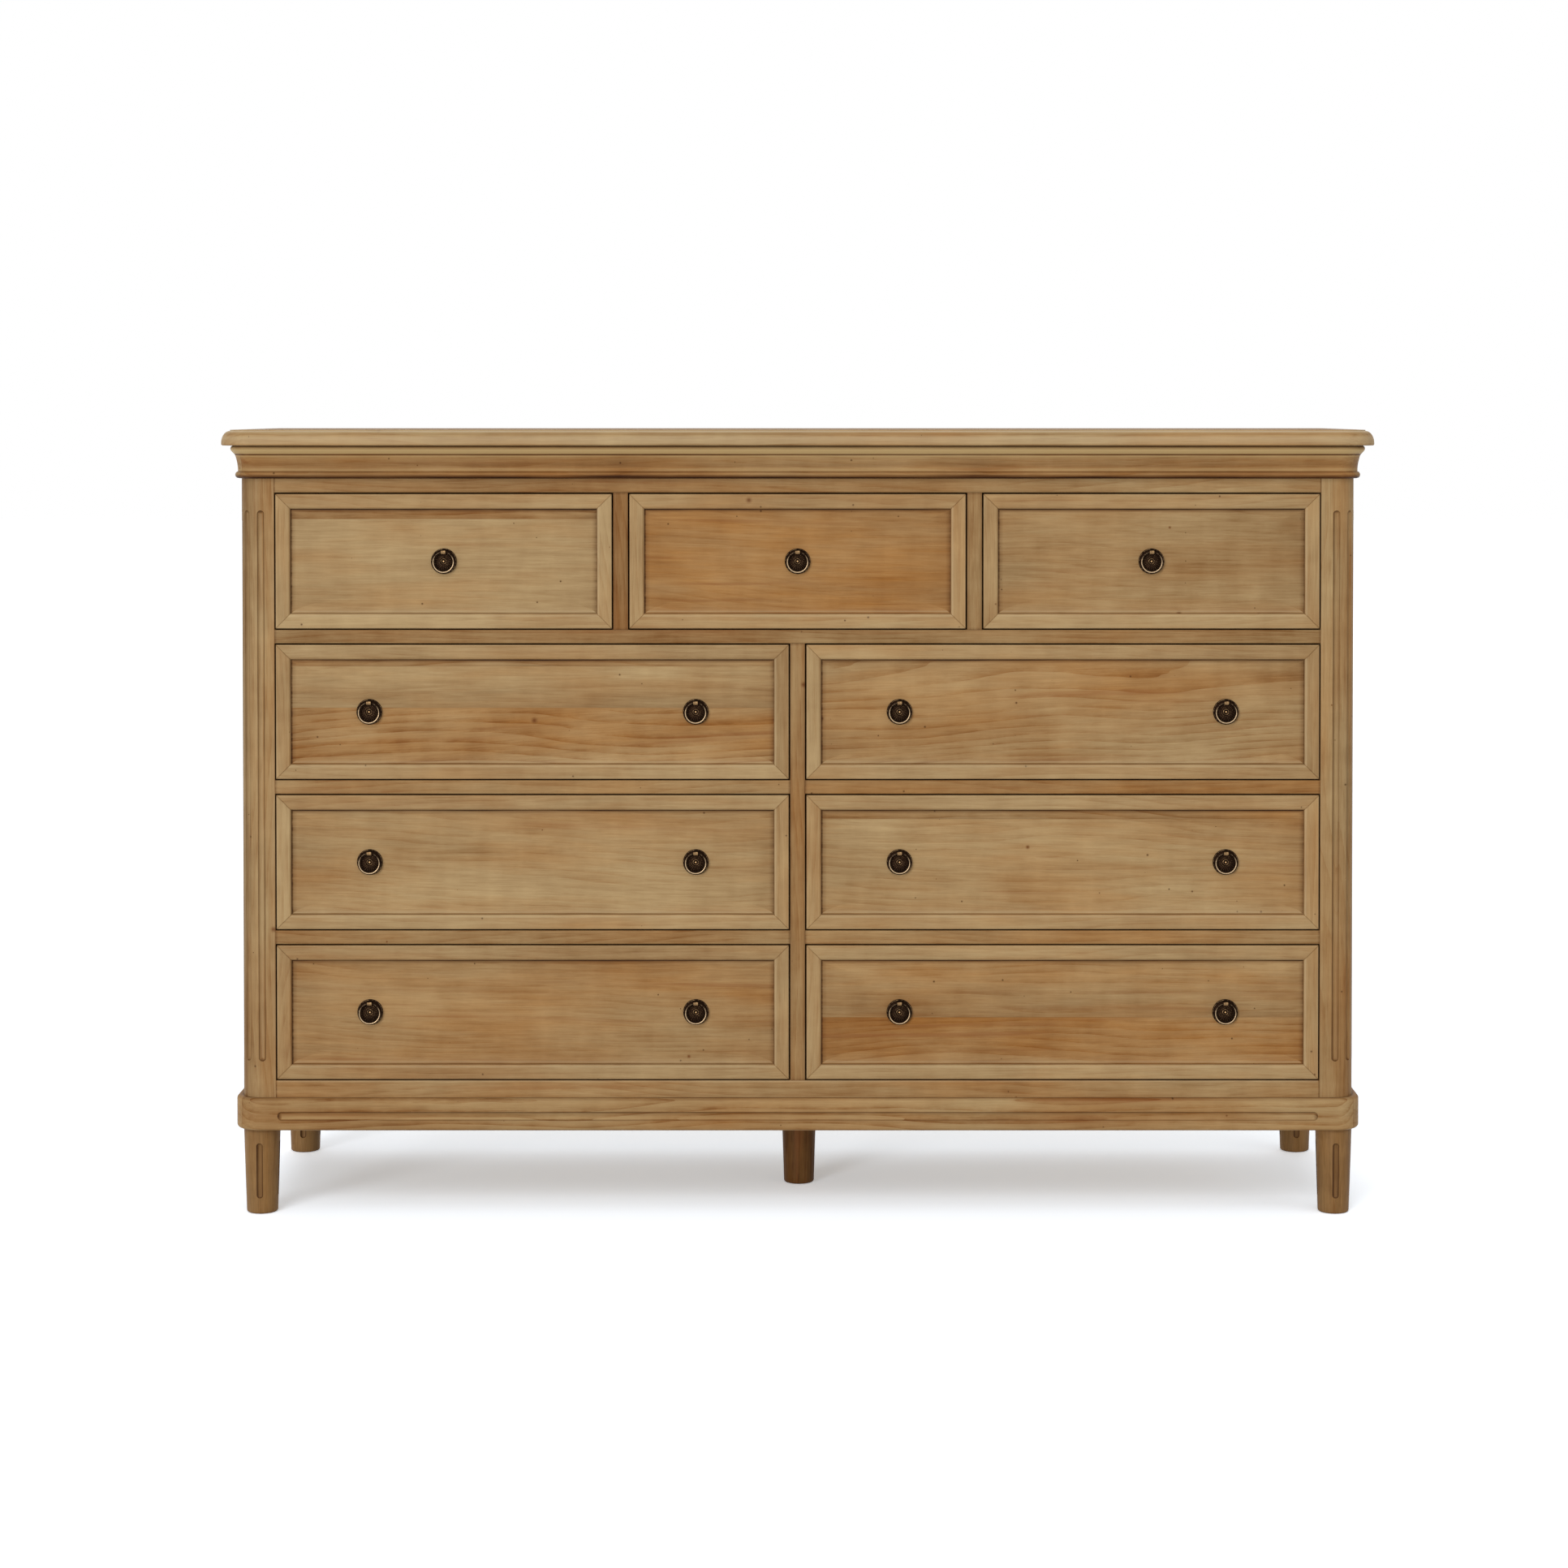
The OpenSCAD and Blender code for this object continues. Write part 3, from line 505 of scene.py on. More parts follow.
def spotted(tree, grain, wood):
    for cell, share, largest, dark in SPOTS.values():
        cells = add(tree, "TexVoronoi", {"Vector": grain, "Scale": 1 / (cell * MM)}, voronoi_dimensions="2D")
        chosen = add(tree, "SeparateColor", {0: cells["Color"]})
        reach = add(tree, "MapRange", {"Value": chosen[0], "From Min": 1 - share, "To Max": largest})
        spot = add(tree, "MapRange", {"Value": cells["Distance"], "From Max": reach[0],
                                      "To Min": 1.0, "To Max": 0.0}, interpolation_type="SMOOTHSTEP")
        spot = add(tree, "Math", {0: spot[0], 1: 1.5}, operation="POWER")
        wood = add(tree, "Mix", {0: spot[0], 6: wood, 7: linear(dark)}, data_type="RGBA")[2]
    return wood


print("spots:", ", ".join(SPOTS))

# %% Wax, wear, and painted light and shade
# The colour of thin dark wax, also used for painted shade
WAX_AND_SHADE_FILTER = "#8a6632"


def waxed_and_shaded(tree, wood, wax_and_shading, uneven, glaze, rubbed):
    """Dark wax is a filter: thin it browns the wood, and thick it hides it. The same filter paints
    shade into corners, gaps and under ledges. A rubbed edge is pale, and the same pale colour paints
    highlights.
    """
    amount = add(tree, "MapRange", {"Value": uneven, "From Min": 0.3, "From Max": 0.7,
                                    "To Min": 0.75, "To Max": 1.2})
    corner = add(tree, "Math", {0: wax_and_shading, 1: 0.0}, operation="MAXIMUM")
    corner = add(tree, "Math", {0: corner[0], 1: amount[0]}, operation="MULTIPLY", use_clamp=True)
    wood = add(tree, "Mix", {0: corner[0], 6: wood, 7: linear(WAX_AND_SHADE_FILTER)}, data_type="RGBA",
               blend_type="MULTIPLY")
    thick = add(tree, "Math", {0: corner[0], 1: 4.0}, operation="POWER")
    wood = add(tree, "Mix", {0: thick[0], 6: wood[2], 7: linear(glaze)}, data_type="RGBA")
    edge = add(tree, "Math", {0: wax_and_shading, 1: -1.0}, operation="MULTIPLY", use_clamp=True)
    return add(tree, "Mix", {0: edge[0], 6: wood[2], 7: linear(rubbed)}, data_type="RGBA")[2]


print("thin wax is", [round(c, 3) for c in linear(WAX_AND_SHADE_FILTER)[:3]])

# %% [markdown]
# Now the steps come together. Wax is a soft coat with a low, even shine, so the wood has the IOR of
# wax, little specular light and a roughness that follows the bands of the grain. The fibres stand up
# a little after planing, so the finest streaks are also the bump.

# %% Pine
WAX_IOR = 1.44
WAX_SHINE = 0.14
FIBRE_RELIEF = 0.3


def from_board(tree):
    """What each corner remembers of its board: its place in the log, its finish and its figure."""
    grain = add(tree, "Attribute", attribute_name="grain")["Vector"]
    finish_and_shading = add(tree, "Attribute", attribute_name="finish_and_shading")["Vector"]
    figure = add(tree, "Attribute", attribute_name="figure")["Fac"]
    return grain, finish_and_shading, figure


# Glaze is the colour of thick dark wax and of painted shade in gaps and quirks; rubbed is the colour of worn
# edges and of painted highlights.
def pine(name, straw, amber, glaze="#241003", rubbed="#c6b08c", contrast=1.0, roughness=0.52,
         grown=from_board):
    material = bpy.data.materials.new(name)
    material.use_nodes = True
    tree = material.node_tree
    grain, finish_and_shading, figure = grown(tree)
    board = add(tree, "SeparateXYZ", {0: finish_and_shading})
    tone, late, streak = wood_tone(tree, grain, board["X"], figure, contrast)
    wood = wood_colour(tree, grain, tone, board["Y"], late, straw, amber)
    wood = waxed_and_shaded(tree, spotted(tree, grain, wood), board["Z"], streak["band"], glaze, rubbed)
    shine = add(tree, "MapRange", {"Value": streak["band"], "From Min": 0.3, "From Max": 0.7,
                                   "To Min": roughness - 0.06, "To Max": roughness + 0.08})
    bump = add(tree, "Bump", {"Strength": 0.3, "Distance": FIBRE_RELIEF * MM, "Height": streak["fibre"]})
    shader = tree.nodes["Principled BSDF"].inputs
    tree.links.new(wood, shader["Base Color"])
    tree.links.new(shine[0], shader["Roughness"])
    tree.links.new(bump[0], shader["Normal"])
    shader["IOR"].default_value = WAX_IOR
    shader["Specular IOR Level"].default_value = WAX_SHINE
    return material


print("wax: IOR", WAX_IOR)

# %% The waxed pines
# Common name: pine, planed, stained and waxed. To the eye: soft matt honey with long streaks and a low shine.
STRAW = ("#bea275", "#78542b")
AMBER = ("#b27c3e", "#6f3f15")
waxed_pine = pine("waxed_pine", STRAW, AMBER)
# Common name: pine, cut with a moulding plane and waxed. To the eye: calmer, with yellower rubbed edges.
moulded_pine = pine("waxed_pine_moulding", STRAW, AMBER, rubbed="#c9ac78", contrast=0.9)
# Common name: pine, turned, stained twice and waxed. To the eye: browner, partly as painted shade, with a
# little more shine.
turned_pine = pine("waxed_pine_legs", ("#ac895b", "#5c3e1f"), ("#966630", "#52300f"), rubbed="#a88a62",
                   roughness=0.48)
print("waxed pine has", len(waxed_pine.node_tree.nodes), "nodes")

# %% [markdown]
# ## The top
# The top is glued from four long boards, and its front and sides carry an ovolo: a small step and a
# quarter round. It could be a flat slab with a moulding glued on, but here the edge is worked on the
# board itself, as a router does. Rings that follow the outline are stacked to the ovolo's profile.

# %% Size of the case
case_low = corners("front_left_post")[0]
SIDE_X = -case_low.x
FACE_Y = case_low.y
BACK_Y = corners("back_left_post")[1].y
CORNER_R = 29
ROUND_STEPS = 14
print("case:", round(2 * SIDE_X), "by", round(BACK_Y - FACE_Y), "mm")

# %% The top's edge
low, high = corners("top_panel")
top_t = high.z - low.z
TOP_R = CORNER_R - SIDE_X - low.x
OVOLO_W, OVOLO_H, FILLET_H, TOP_EASE = 13, 18, 1.5, 2
# The ovolo from its foot to its head: painted light on its lower part, painted shade at its middle, and a
# painted highlight near its top
OVOLO_SHADING = (-0.25, -0.25, -0.35, -0.4, -0.15, 0.15, 0.1, -0.2, -0.8, -1.0, -0.6)


def top_outline(inset, z, wax_and_shading):
    """The top's outline, drawn in from its edge. The back edge stays straight."""
    x, y, r = high.x - TOP_R, low.y + TOP_R, TOP_R - inset
    outline = [(-high.x + inset, high.y)]
    outline += arc(-x, y, r, 180, 270, ROUND_STEPS) + arc(x, y, r, 270, 360, ROUND_STEPS)
    outline.append((high.x - inset, high.y))
    return [(px, py, low.z + z, wax_and_shading) for px, py in outline]


# Painted shade darkens the top's underside near its edge
edge = [(TOP_EASE + 30, 0, 0.9), (TOP_EASE + 6, 0, 0.7)]
edge += waxed_and_shaded_arc(TOP_EASE, TOP_EASE, TOP_EASE, -90, -180, [0.05] * 5)
for i, wax_and_shading in enumerate(OVOLO_SHADING):
    a = math.radians(90 * i / (len(OVOLO_SHADING) - 1))
    edge.append((OVOLO_W * (1 - math.cos(a)), top_t - FILLET_H - OVOLO_H * (1 - math.sin(a)), wax_and_shading))
edge += [(OVOLO_W, top_t - 0.3, -0.2), (OVOLO_W + 0.4, top_t, 0.0), (OVOLO_W + 7, top_t, 0.0)]
print("the top's edge has", len(edge), "points")

# %% The top's boards
# From the front to the back: (name, shade, amber)
TOP_BOARDS = [("top front board", 0.37, 0.15), ("top board 2", 0.34, 0.16),
              ("top board 3", 0.28, 0.12), ("top board 4", 0.36, 0.20)]
boards = [saw_board(name, "x", "z", shade, amber) for name, shade, amber in TOP_BOARDS]
joints = [low.y + (high.y - low.y) * i / len(boards) for i in range(1, len(boards))]
bm = new_piece()
faces = skin(bm, [top_outline(*point) for point in edge], boards[0])
glue_boards(bm, faces, "y", joints, boards, wax=0.55, seam=1.2)
finish_piece(bm, "top_of_four_boards", waxed_pine, "top_panel")

# %% [markdown]
# ## Mouldings round the case
# The cornice and the base moulding are planed lengths, mitred at the rounded corners. A curve with a
# bevel profile could draw them, but its ends and its flutes would be hard to control. So the outline of
# the case is walked from the back of the left side, round the front, to the back of the right side,
# and at each stop the moulding's section is set up square to the case.

# %% Walk round the case
Stop = namedtuple("Stop", "x y out_x out_y side place")
MITRE, MITRE_SEAM, MITRE_WAX = 45, 0.6, 0.6


def round_stop(side, turn):
    u, v = math.cos(math.radians(turn)), math.sin(math.radians(turn))
    x, y = SIDE_X - CORNER_R + CORNER_R * u, FACE_Y + CORNER_R - CORNER_R * v
    return Stop(side * x, y, side * u, -v, "round", turn)


def walk_round_case(front_places=(), side_places=()):
    """Stops along the case's outline. A place on the front is an x, and on a side a y, in mm."""
    turns = {90 * i / ROUND_STEPS for i in range(1, ROUND_STEPS)}
    turns |= {MITRE - MITRE_SEAM, MITRE, MITRE + MITRE_SEAM}
    sides = sorted({BACK_Y, FACE_Y + CORNER_R, *side_places})
    fronts = sorted({CORNER_R - SIDE_X, SIDE_X - CORNER_R, *front_places})
    stops = [Stop(-SIDE_X, y, -1, 0, "left", y) for y in reversed(sides)]
    stops += [round_stop(-1, turn) for turn in sorted(turns)]
    stops += [Stop(x, FACE_Y, 0, -1, "front", x) for x in fronts]
    stops += [round_stop(1, turn) for turn in sorted(turns, reverse=True)]
    return stops + [Stop(SIDE_X, y, 1, 0, "right", y) for y in sides]


print("stops on the case's outline:", len(walk_round_case()))

# %% Mitred lengths
def mitred_moulding(stops, section_at, boards):
    """Skins a moulding. section_at gives (out, z, dirt) points at a stop; boards are front, left, right."""
    bm = new_piece()
    rings = []
    for stop in stops:
        joint = MITRE_WAX if stop.side == "round" and stop.place == MITRE else 0
        rings.append([(stop.x + stop.out_x * out, stop.y + stop.out_y * out, z, stronger(wax_and_shading, joint))
                      for out, z, wax_and_shading in section_at(stop)])
    lengths = [[], [], []]
    for face in skin(bm, rings, boards[0]):
        middle = face.calc_center_median() / MM
        sideways = abs(middle.x) - (SIDE_X - CORNER_R)
        forwards = FACE_Y + CORNER_R - middle.y
        lengths[0 if forwards > sideways else 1 if middle.x < 0 else 2].append(face)
    for faces, board in zip(lengths, boards):
        lay_grain(bm, faces, board)
    return bm


print("lengths meet at", MITRE, "degrees")

# %% [markdown]
# The cornice carries the top: a bead at its foot, a cove, and a band with a rounded nose. Its section is
# written from the foot up, with dark wax and painted shade under the bead, in the quirk above the cove and
# under the top, and painted light where the nose faces down.
# Above the two dividers it was handled and is stained darker.

# %% Cornice: bead, cove and nosed band
low = corners("cornice_moulding")[0]
DIVIDER_X = 261
STAIN, STAIN_REACH = 0.26, 75
BEAD_H, BEAD_R, COVE_H, BAND_H, NOSE_R = 10.3, 5.15, 25, 13.2, 4.8
BEAD_OUT, COVE_FOOT, COVE_HEAD, BAND_OUT = 9.5, 5.5, 10, 16.5
# The bead from below to above: dark wax and painted shade on its underside
BEAD_WAX_AND_SHADE = (0.9, 0.85, 0.75, 0.6, 0.35, 0.0, 0.0, 0.2, 0.35)
# The cove has 12 steps, and its first is the quirk over the bead
COVE_STEPS = 12
# Over the cove from foot to head: paler at its foot, painted shade at its middle, painted light at its head
COVE_SHADING = (-0.2, 0.05, 0.18, 0.2, 0.15, 0.08, 0.02, -0.05, -0.15, -0.5)
# The nose from below to its top: painted light where it faces down, painted shade where it meets the top
NOSE_SHADING = (-0.9, -1.0, -0.9, -0.6, -0.4, -0.3, -0.2, 0.3, 0.9, 1.0, 1.0)


def cornice_section(stop):
    away = abs(abs(stop.place) - DIVIDER_X) if stop.side == "front" else STAIN_REACH
    stain = STAIN * max(0, 1 - away / STAIN_REACH)
    cove_z = low.z + BEAD_H
    band_z = cove_z + COVE_H
    top_z = band_z + BAND_H
    # The foot is darkened underneath, and so is the band's top under the top board, both with painted shade
    section = [(0, low.z, 0.9), (BEAD_OUT - BEAD_R, low.z, 0.8)]
    section += waxed_and_shaded_arc(BEAD_OUT - BEAD_R, low.z + BEAD_R, BEAD_R, -60, 60,
                         [min(wax_and_shading + stain, 0.9) for wax_and_shading in BEAD_WAX_AND_SHADE])
    section += [(COVE_FOOT, cove_z, 0.4), (COVE_FOOT + 0.1, cove_z + 1.2, stain - 0.3)]
    for i, wax_and_shading in enumerate(COVE_SHADING, 2):
        up = i / COVE_STEPS
        section.append((COVE_FOOT + (COVE_HEAD - COVE_FOOT) * up * up, cove_z + COVE_H * up, wax_and_shading + stain))
    # Under the nose: a dark line of wax and painted shade, then painted light on the slope that faces down
    section += [(COVE_HEAD + out, band_z + up, wax_and_shading) for out, up, wax_and_shading in
                ((-0.1, -1.1, 0.1), (0.1, -0.2, 1.0), (0.5, 0.1, 1.0), (1.2, 0.8, 0.2), (1.9, 1.5, -0.8))]
    section += waxed_and_shaded_arc(BAND_OUT - NOSE_R, top_z - NOSE_R, NOSE_R, -50, 90, NOSE_SHADING)
    return section + [(6, top_z, 1), (0, top_z, 1)]


print("the cornice's section has", len(cornice_section(walk_round_case()[0])), "points")

# %% The cornice's lengths
stained = [s * (DIVIDER_X + d) for s in (-1, 1) for d in (-STAIN_REACH, -30, 0, 30, STAIN_REACH)]
boards = [saw_board("cornice front", "x", "y", 0.46, 0.46),
          saw_board("cornice left", "y", "x", 0.46, 0.30),
          saw_board("cornice right", "y", "x", 0.48, 0.32)]
bm = mitred_moulding(walk_round_case(stained), cornice_section, boards)
finish_piece(bm, "cornice_lengths", moulded_pine, "cornice_moulding")

# %% [markdown]
# ## Stopped flutes
# A flute is a groove that a round cutter leaves when it is lowered into the wood, run along, and
# lifted again, so it is round across and ends in a quarter of a ball. A boolean with a rod would
# do, but it leaves ragged faces. The section's own points dip into the wood instead, and near
# the ends they draw together the way the ball does. Dark wax and painted shade lie along a flute's
# edges and in its ends.

# %% Stopped flutes
Flute = namedtuple("Flute", "start end width depth")
CLOSED = 0.25
FLUTE_POINTS = 8
FLUTE_END_SHADE = 0.8


def flute(start, end, width, depth):
    """The flute that shows when the cutter runs from start to end in mm."""
    cutter = (width * width / 4 + depth * depth) / (2 * depth)
    hidden = cutter - width / 2
    return Flute(start + hidden, end - hidden, width, depth)


def flute_stops(f, steps=7):
    drawn_in = [f.width / 2 * (1 - math.cos(math.radians(90 * i / steps))) for i in range(steps + 1)]
    return [f.start + d for d in drawn_in] + [f.end - d for d in reversed(drawn_in)]


def flute_section(f, place, wax):
    """Points across the flute at a place along it: (how far from its middle, how deep, dirt)."""
    half = f.width / 2
    cutter = (half * half + f.depth * f.depth) / (2 * f.depth)
    past = max(f.start + half - place, place - f.end + half, 0)
    reach = max(math.sqrt(max(half * half - past * past, 0)), CLOSED)
    cut = past < half - 0.001
    # Painted shade darkens the flute towards its ends
    least = FLUTE_END_SHADE * past / half if past else -1
    points = [(-reach - 1.0, 0, 0), (-reach - 0.2, 0, 0.4 if cut else 0)]
    for i in range(FLUTE_POINTS + 1):
        u = reach * -math.cos(math.pi * i / FLUTE_POINTS)
        deep = math.sqrt(max(cutter * cutter - past * past - u * u, 0)) - (cutter - f.depth)
        points.append((u, max(deep, 0), max(wax[i], least)) if cut else (u, 0, 0))
    return points + [(reach + 0.2, 0, 0.2 if cut else 0), (reach + 1.0, 0, 0)]


print("a 10 mm flute is", round(flute_section(flute(0, 100, 10, 3.5), 50, [0] * 9)[6][1], 2), "mm deep")

# %% Base moulding
low, high = corners("base_moulding")
BASE_OUT, BASE_EASE = 10, 5
BASE_FLUTE_W, BASE_FLUTE_D, BASE_FLUTE_Z, BASE_FLUTE_STOP = 12.3, 3, 22, 54
# From the foot of the flute to its head: painted light on the lower half, and wax and painted shade
# along its edges
BASE_FLUTE_SHADING = (0.5, 0.3, -0.35, -0.3, -0.1, 0.0, 0.15, 0.5, 0.9)
front_flute, side_flute = [flute(start + BASE_FLUTE_STOP, end - BASE_FLUTE_STOP, BASE_FLUTE_W, BASE_FLUTE_D)
                           for start, end in ((-SIDE_X, SIDE_X), (FACE_Y, BACK_Y))]


def base_section(stop):
    cut = front_flute if stop.side == "front" else side_flute
    place = cut.start - BASE_FLUTE_STOP if stop.side == "round" else stop.place
    middle = BASE_OUT - BASE_EASE
    # Painted shade on the underside, a slightly pale lower round, a painted highlight just under the upper
    # round, and a dark line of wax and painted shade where the post stands on it
    section = [(0, low.z, 0.4), (3, low.z, 0.3)]
    section += waxed_and_shaded_arc(middle, low.z + BASE_EASE, BASE_EASE, -90, 0, [-0.1] * 7)
    section += [(BASE_OUT - deep, low.z + BASE_FLUTE_Z + u, wax_and_shading)
                for u, deep, wax_and_shading in flute_section(cut, place, BASE_FLUTE_SHADING)]
    section += waxed_and_shaded_arc(middle, high.z - BASE_EASE, BASE_EASE, 0, 90, [-0.15] * 2 + [0.1] * 5)
    return section + [(3, high.z, 0.2), (1.5, high.z, 0.5), (0, high.z, 0.8)]


boards = [saw_board("base front", "x", "y", 0.50, 0.26, 0.9, heart=(10, 40)),
          saw_board("base left", "y", "x", 0.48, 0.30),
          saw_board("base right", "y", "x", 0.50, 0.32)]
stops = walk_round_case(flute_stops(front_flute), flute_stops(side_flute))
bm = mitred_moulding(stops, base_section, boards)
finish_piece(bm, "base_moulding_lengths", moulded_pine, "base_moulding")

# %% [markdown]
# ## Corner posts
# Each front post is one square stick with its outer corner rounded to the case's curve and three
# stopped flutes, on the front, on the round and on the side. Its outline is measured along the
# surface from the inner front edge, so a flute can sit anywhere on it, also half on the flat and
# half on the round. The right post is the left one mirrored.

# %% A post's outside
POST_W = SIDE_X - corners("top_rail")[1].x
POST_ROUND = math.pi / 2 * CORNER_R
FLAT = POST_W - CORNER_R
FLUTE_W, FLUTE_D, FLUTE_FOOT, FLUTE_HEAD = 10, 3.5, 53, 47
ROUND_SHADE_PER_MM = 0.018
post_flute = flute(corners("base_moulding")[1].z + FLUTE_FOOT,
                   corners("cornice_moulding")[0].z - FLUTE_HEAD, FLUTE_W, FLUTE_D)


def on_post(s):
    """A place on the left post's outside, s mm from its inner front edge, and the way into the wood."""
    if s < FLAT:
        return -SIDE_X + POST_W - s, FACE_Y, 0, 1
    if s > FLAT + POST_ROUND:
        return -SIDE_X, FACE_Y + CORNER_R + s - FLAT - POST_ROUND, 1, 0
    a = (s - FLAT) / CORNER_R
    x, y = math.sin(a), math.cos(a)
    return -SIDE_X + CORNER_R - CORNER_R * x, FACE_Y + CORNER_R - CORNER_R * y, x, y


def post_section(z, shift, wax, round_shade):
    """Points as (s, how deep, wax and shading). Painted shade darkens the round and the side more
    the further they turn from the front, up to each post's limit.
    """
    # A dark line of wax and painted shade at the edge beside the drawers, then a paler arris
    points = [(0.0, 0, 0.3), (1.5, 0, -0.1), (5.0, 0, 0)]
    for i in range(3):
        middle = FLAT + POST_ROUND * i / 2 - shift
        points += [(middle + u, deep, wax_and_shading) for u, deep, wax_and_shading in flute_section(post_flute, z, wax)]
        if i < 2:
            points += [(middle + POST_ROUND * share, 0, 0) for share in (0.17, 0.25, 0.33)]
    points += [(2 * FLAT + POST_ROUND - 5, 0, 0), (2 * FLAT + POST_ROUND, 0, 0.3)]
    return [(s, deep, max(wax_and_shading, min(wax_and_shading, 0) + min(max(s - FLAT, 0) * ROUND_SHADE_PER_MM, round_shade)))
            for s, deep, wax_and_shading in points]


print("a post is", round(POST_W), "mm wide, its flute", round(post_flute.end - post_flute.start), "mm long")

# %% Front posts
# Each post: its mirror, how far its flutes sit nearer to the drawers in mm, its shade, how dark the
# painted shade on the round grows at most, and the wax and painted shade of its flutes from their inner
# to their outer side; the right post's flutes are shaded darker inside
POSTS = {
    "left": (1, 3, 0.38, 0.38, (0.85, 0.7, 0.2, -0.1, -0.15, -0.1, 0.1, 0.45, 0.6)),
    "right": (-1, 0, 0.48, 0.12, (0.85, 0.7, 0.4, 0.2, 0.1, 0.15, 0.25, 0.4, 0.5)),
}
for side, (mirror, shift, shade, round_shade, wax) in POSTS.items():
    node = f"front_{side}_post"
    low, high = corners(node)
    rings = []
    for z in (low.z, low.z + 4, *flute_stops(post_flute), high.z):
        ring = []
        for s, deep, wax_and_shading in post_section(z, shift, wax, round_shade):
            x, y, in_x, in_y = on_post(s)
            ring.append((mirror * (x + in_x * deep), y + in_y * deep, z, wax_and_shading))
        rings.append([*ring, (mirror * (-SIDE_X + POST_W), FACE_Y + POST_W, z, 0)])
    bm = new_piece()
    skin(bm, rings, saw_board(node, "z", "y", shade, 0.16))
    finish_piece(bm, f"fluted_post_{side}", waxed_pine, node)

# %% [markdown]
# The back posts are plain square sticks. A rebate along their inner back corner takes the back boards.

# %% Back posts
BACK_LAP = 10
back_y = corners("back_panel")[0].y
for side, mirror in (("left", 1), ("right", -1)):
    node = f"back_{side}_post"
    low, high = corners(node)
    outer, inner = (low.x, high.x) if mirror == 1 else (high.x, low.x)
    lap = inner - mirror * BACK_LAP
    outline = [(outer, low.y, 0.3), (outer, high.y - 1.5, -0.2), (outer + mirror * 1.5, high.y, -0.2),
               (lap, high.y, 0), (lap, back_y, 0.5), (inner, back_y, 0.5), (inner, low.y, 0)]
    rings = [[(x, y, z, wax_and_shading) for x, y, wax_and_shading in outline] for z in (low.z, low.z + 4, high.z)]
    bm = new_piece()
    skin(bm, rings, saw_board(node, "z", "x", 0.55, 0.2))
    finish_piece(bm, f"rebated_post_{side}", waxed_pine, node)

# %% [markdown]
# ## Rails and dividers
# Rails run between the posts, and dividers stand between the drawers. They are plain planed boards with
# a touch of sandpaper on each edge. A box would do for their shape, but the eased edge is what catches
# the light, and a darker line of wax where a rail meets its post tells the joint. Where rails and
# dividers meet a drawer, their edges and sides are darkened with wax and painted shade.

# %% Top and bottom rail
def join_planks(name, node, slot, pieces, material, **edges):
    """Boards that share one of the joiner's nodes: each is (low corner, high corner, board)."""
    bm = new_piece()
    for start, end, board in pieces:
        plank(bm, start, end, board, **edges)
    finish_piece(bm, name, material, node)


join_planks("rail_under_top", "top_rail", "rail_wood",
            [(*corners("top_rail"), saw_board("top rail", "x", "y", 0.50, 0.22))],
            waxed_pine, ends=0.75, edge=0.25, fade=2.5, gap=0.9)
join_planks("rail_at_foot", "bottom_rail", "rail_wood",
            [(*corners("bottom_rail"), saw_board("bottom rail", "x", "y", 0.46, 0.30))],
            waxed_pine, ends=0.75, fade=2.5, gap=0.4)

# %% Rails between the rows
OPEN_X = SIDE_X - POST_W
STILE_HALF = 11
low, high = corners("row_rails")
stile_low, stile_high = corners("front_dividers")
opening_h = stile_high.z - high.z
rail_h = (high.z - low.z - 2 * opening_h) / 3
# From the foot up: (name, left end, right end, row, shade, amber)
ROW_RAILS = [("rail 0 left", -OPEN_X, -STILE_HALF, 0, 0.51, 0.26),
             ("rail 0 right", STILE_HALF, OPEN_X, 0, 0.51, 0.38),
             ("rail 1 left", -OPEN_X, -STILE_HALF, 1, 0.51, 0.26),
             ("rail 1 right", STILE_HALF, OPEN_X, 1, 0.51, 0.38),
             ("upper rail", -OPEN_X, OPEN_X, 2, 0.68, 0.26)]
rails = []
for name, x0, x1, row, shade, amber in ROW_RAILS:
    z = low.z + row * (opening_h + rail_h)
    rails.append(((x0, low.y, z), (x1, high.y, z + rail_h), saw_board(name, "x", "y", shade, amber)))
join_planks("rails_between_rows", "row_rails", "rail_wood", rails, waxed_pine, ends=0.6, edge=0.05, gap=0.4)

# %% Stile and dividers
# (name, middle, foot, head, shade, amber)
UPRIGHTS = [("centre stile", 0, stile_low.z, high.z - rail_h, 0.48, 0.28),
            ("divider left", -DIVIDER_X, high.z, stile_high.z, 0.74, 0.34),
            ("divider right", DIVIDER_X, high.z, stile_high.z, 0.62, 0.34)]
uprights = [((x - STILE_HALF, stile_low.y, foot), (x + STILE_HALF, stile_high.y, head),
             saw_board(name, "z", "y", shade, amber)) for name, x, foot, head, shade, amber in UPRIGHTS]
join_planks("stile_and_dividers", "front_dividers", "rail_wood", uprights, waxed_pine,
            ends=0.5, edge=0.25, gap=0.9)

# %% [markdown]
# ## Sides and back
# A side is two rails with a thin panel sunk between them, glued from upright boards. The panel floats in
# grooves, so it can swell without splitting the case. Its face is drawn as nested rectangles:
# the outermost lies hidden in the groove, the next one carries the dark wax and painted shade of the
# corner, and both fade towards the middle. The drawer fronts use the same way.

# %% Sunk panels
CORNER_CUT = 0.3


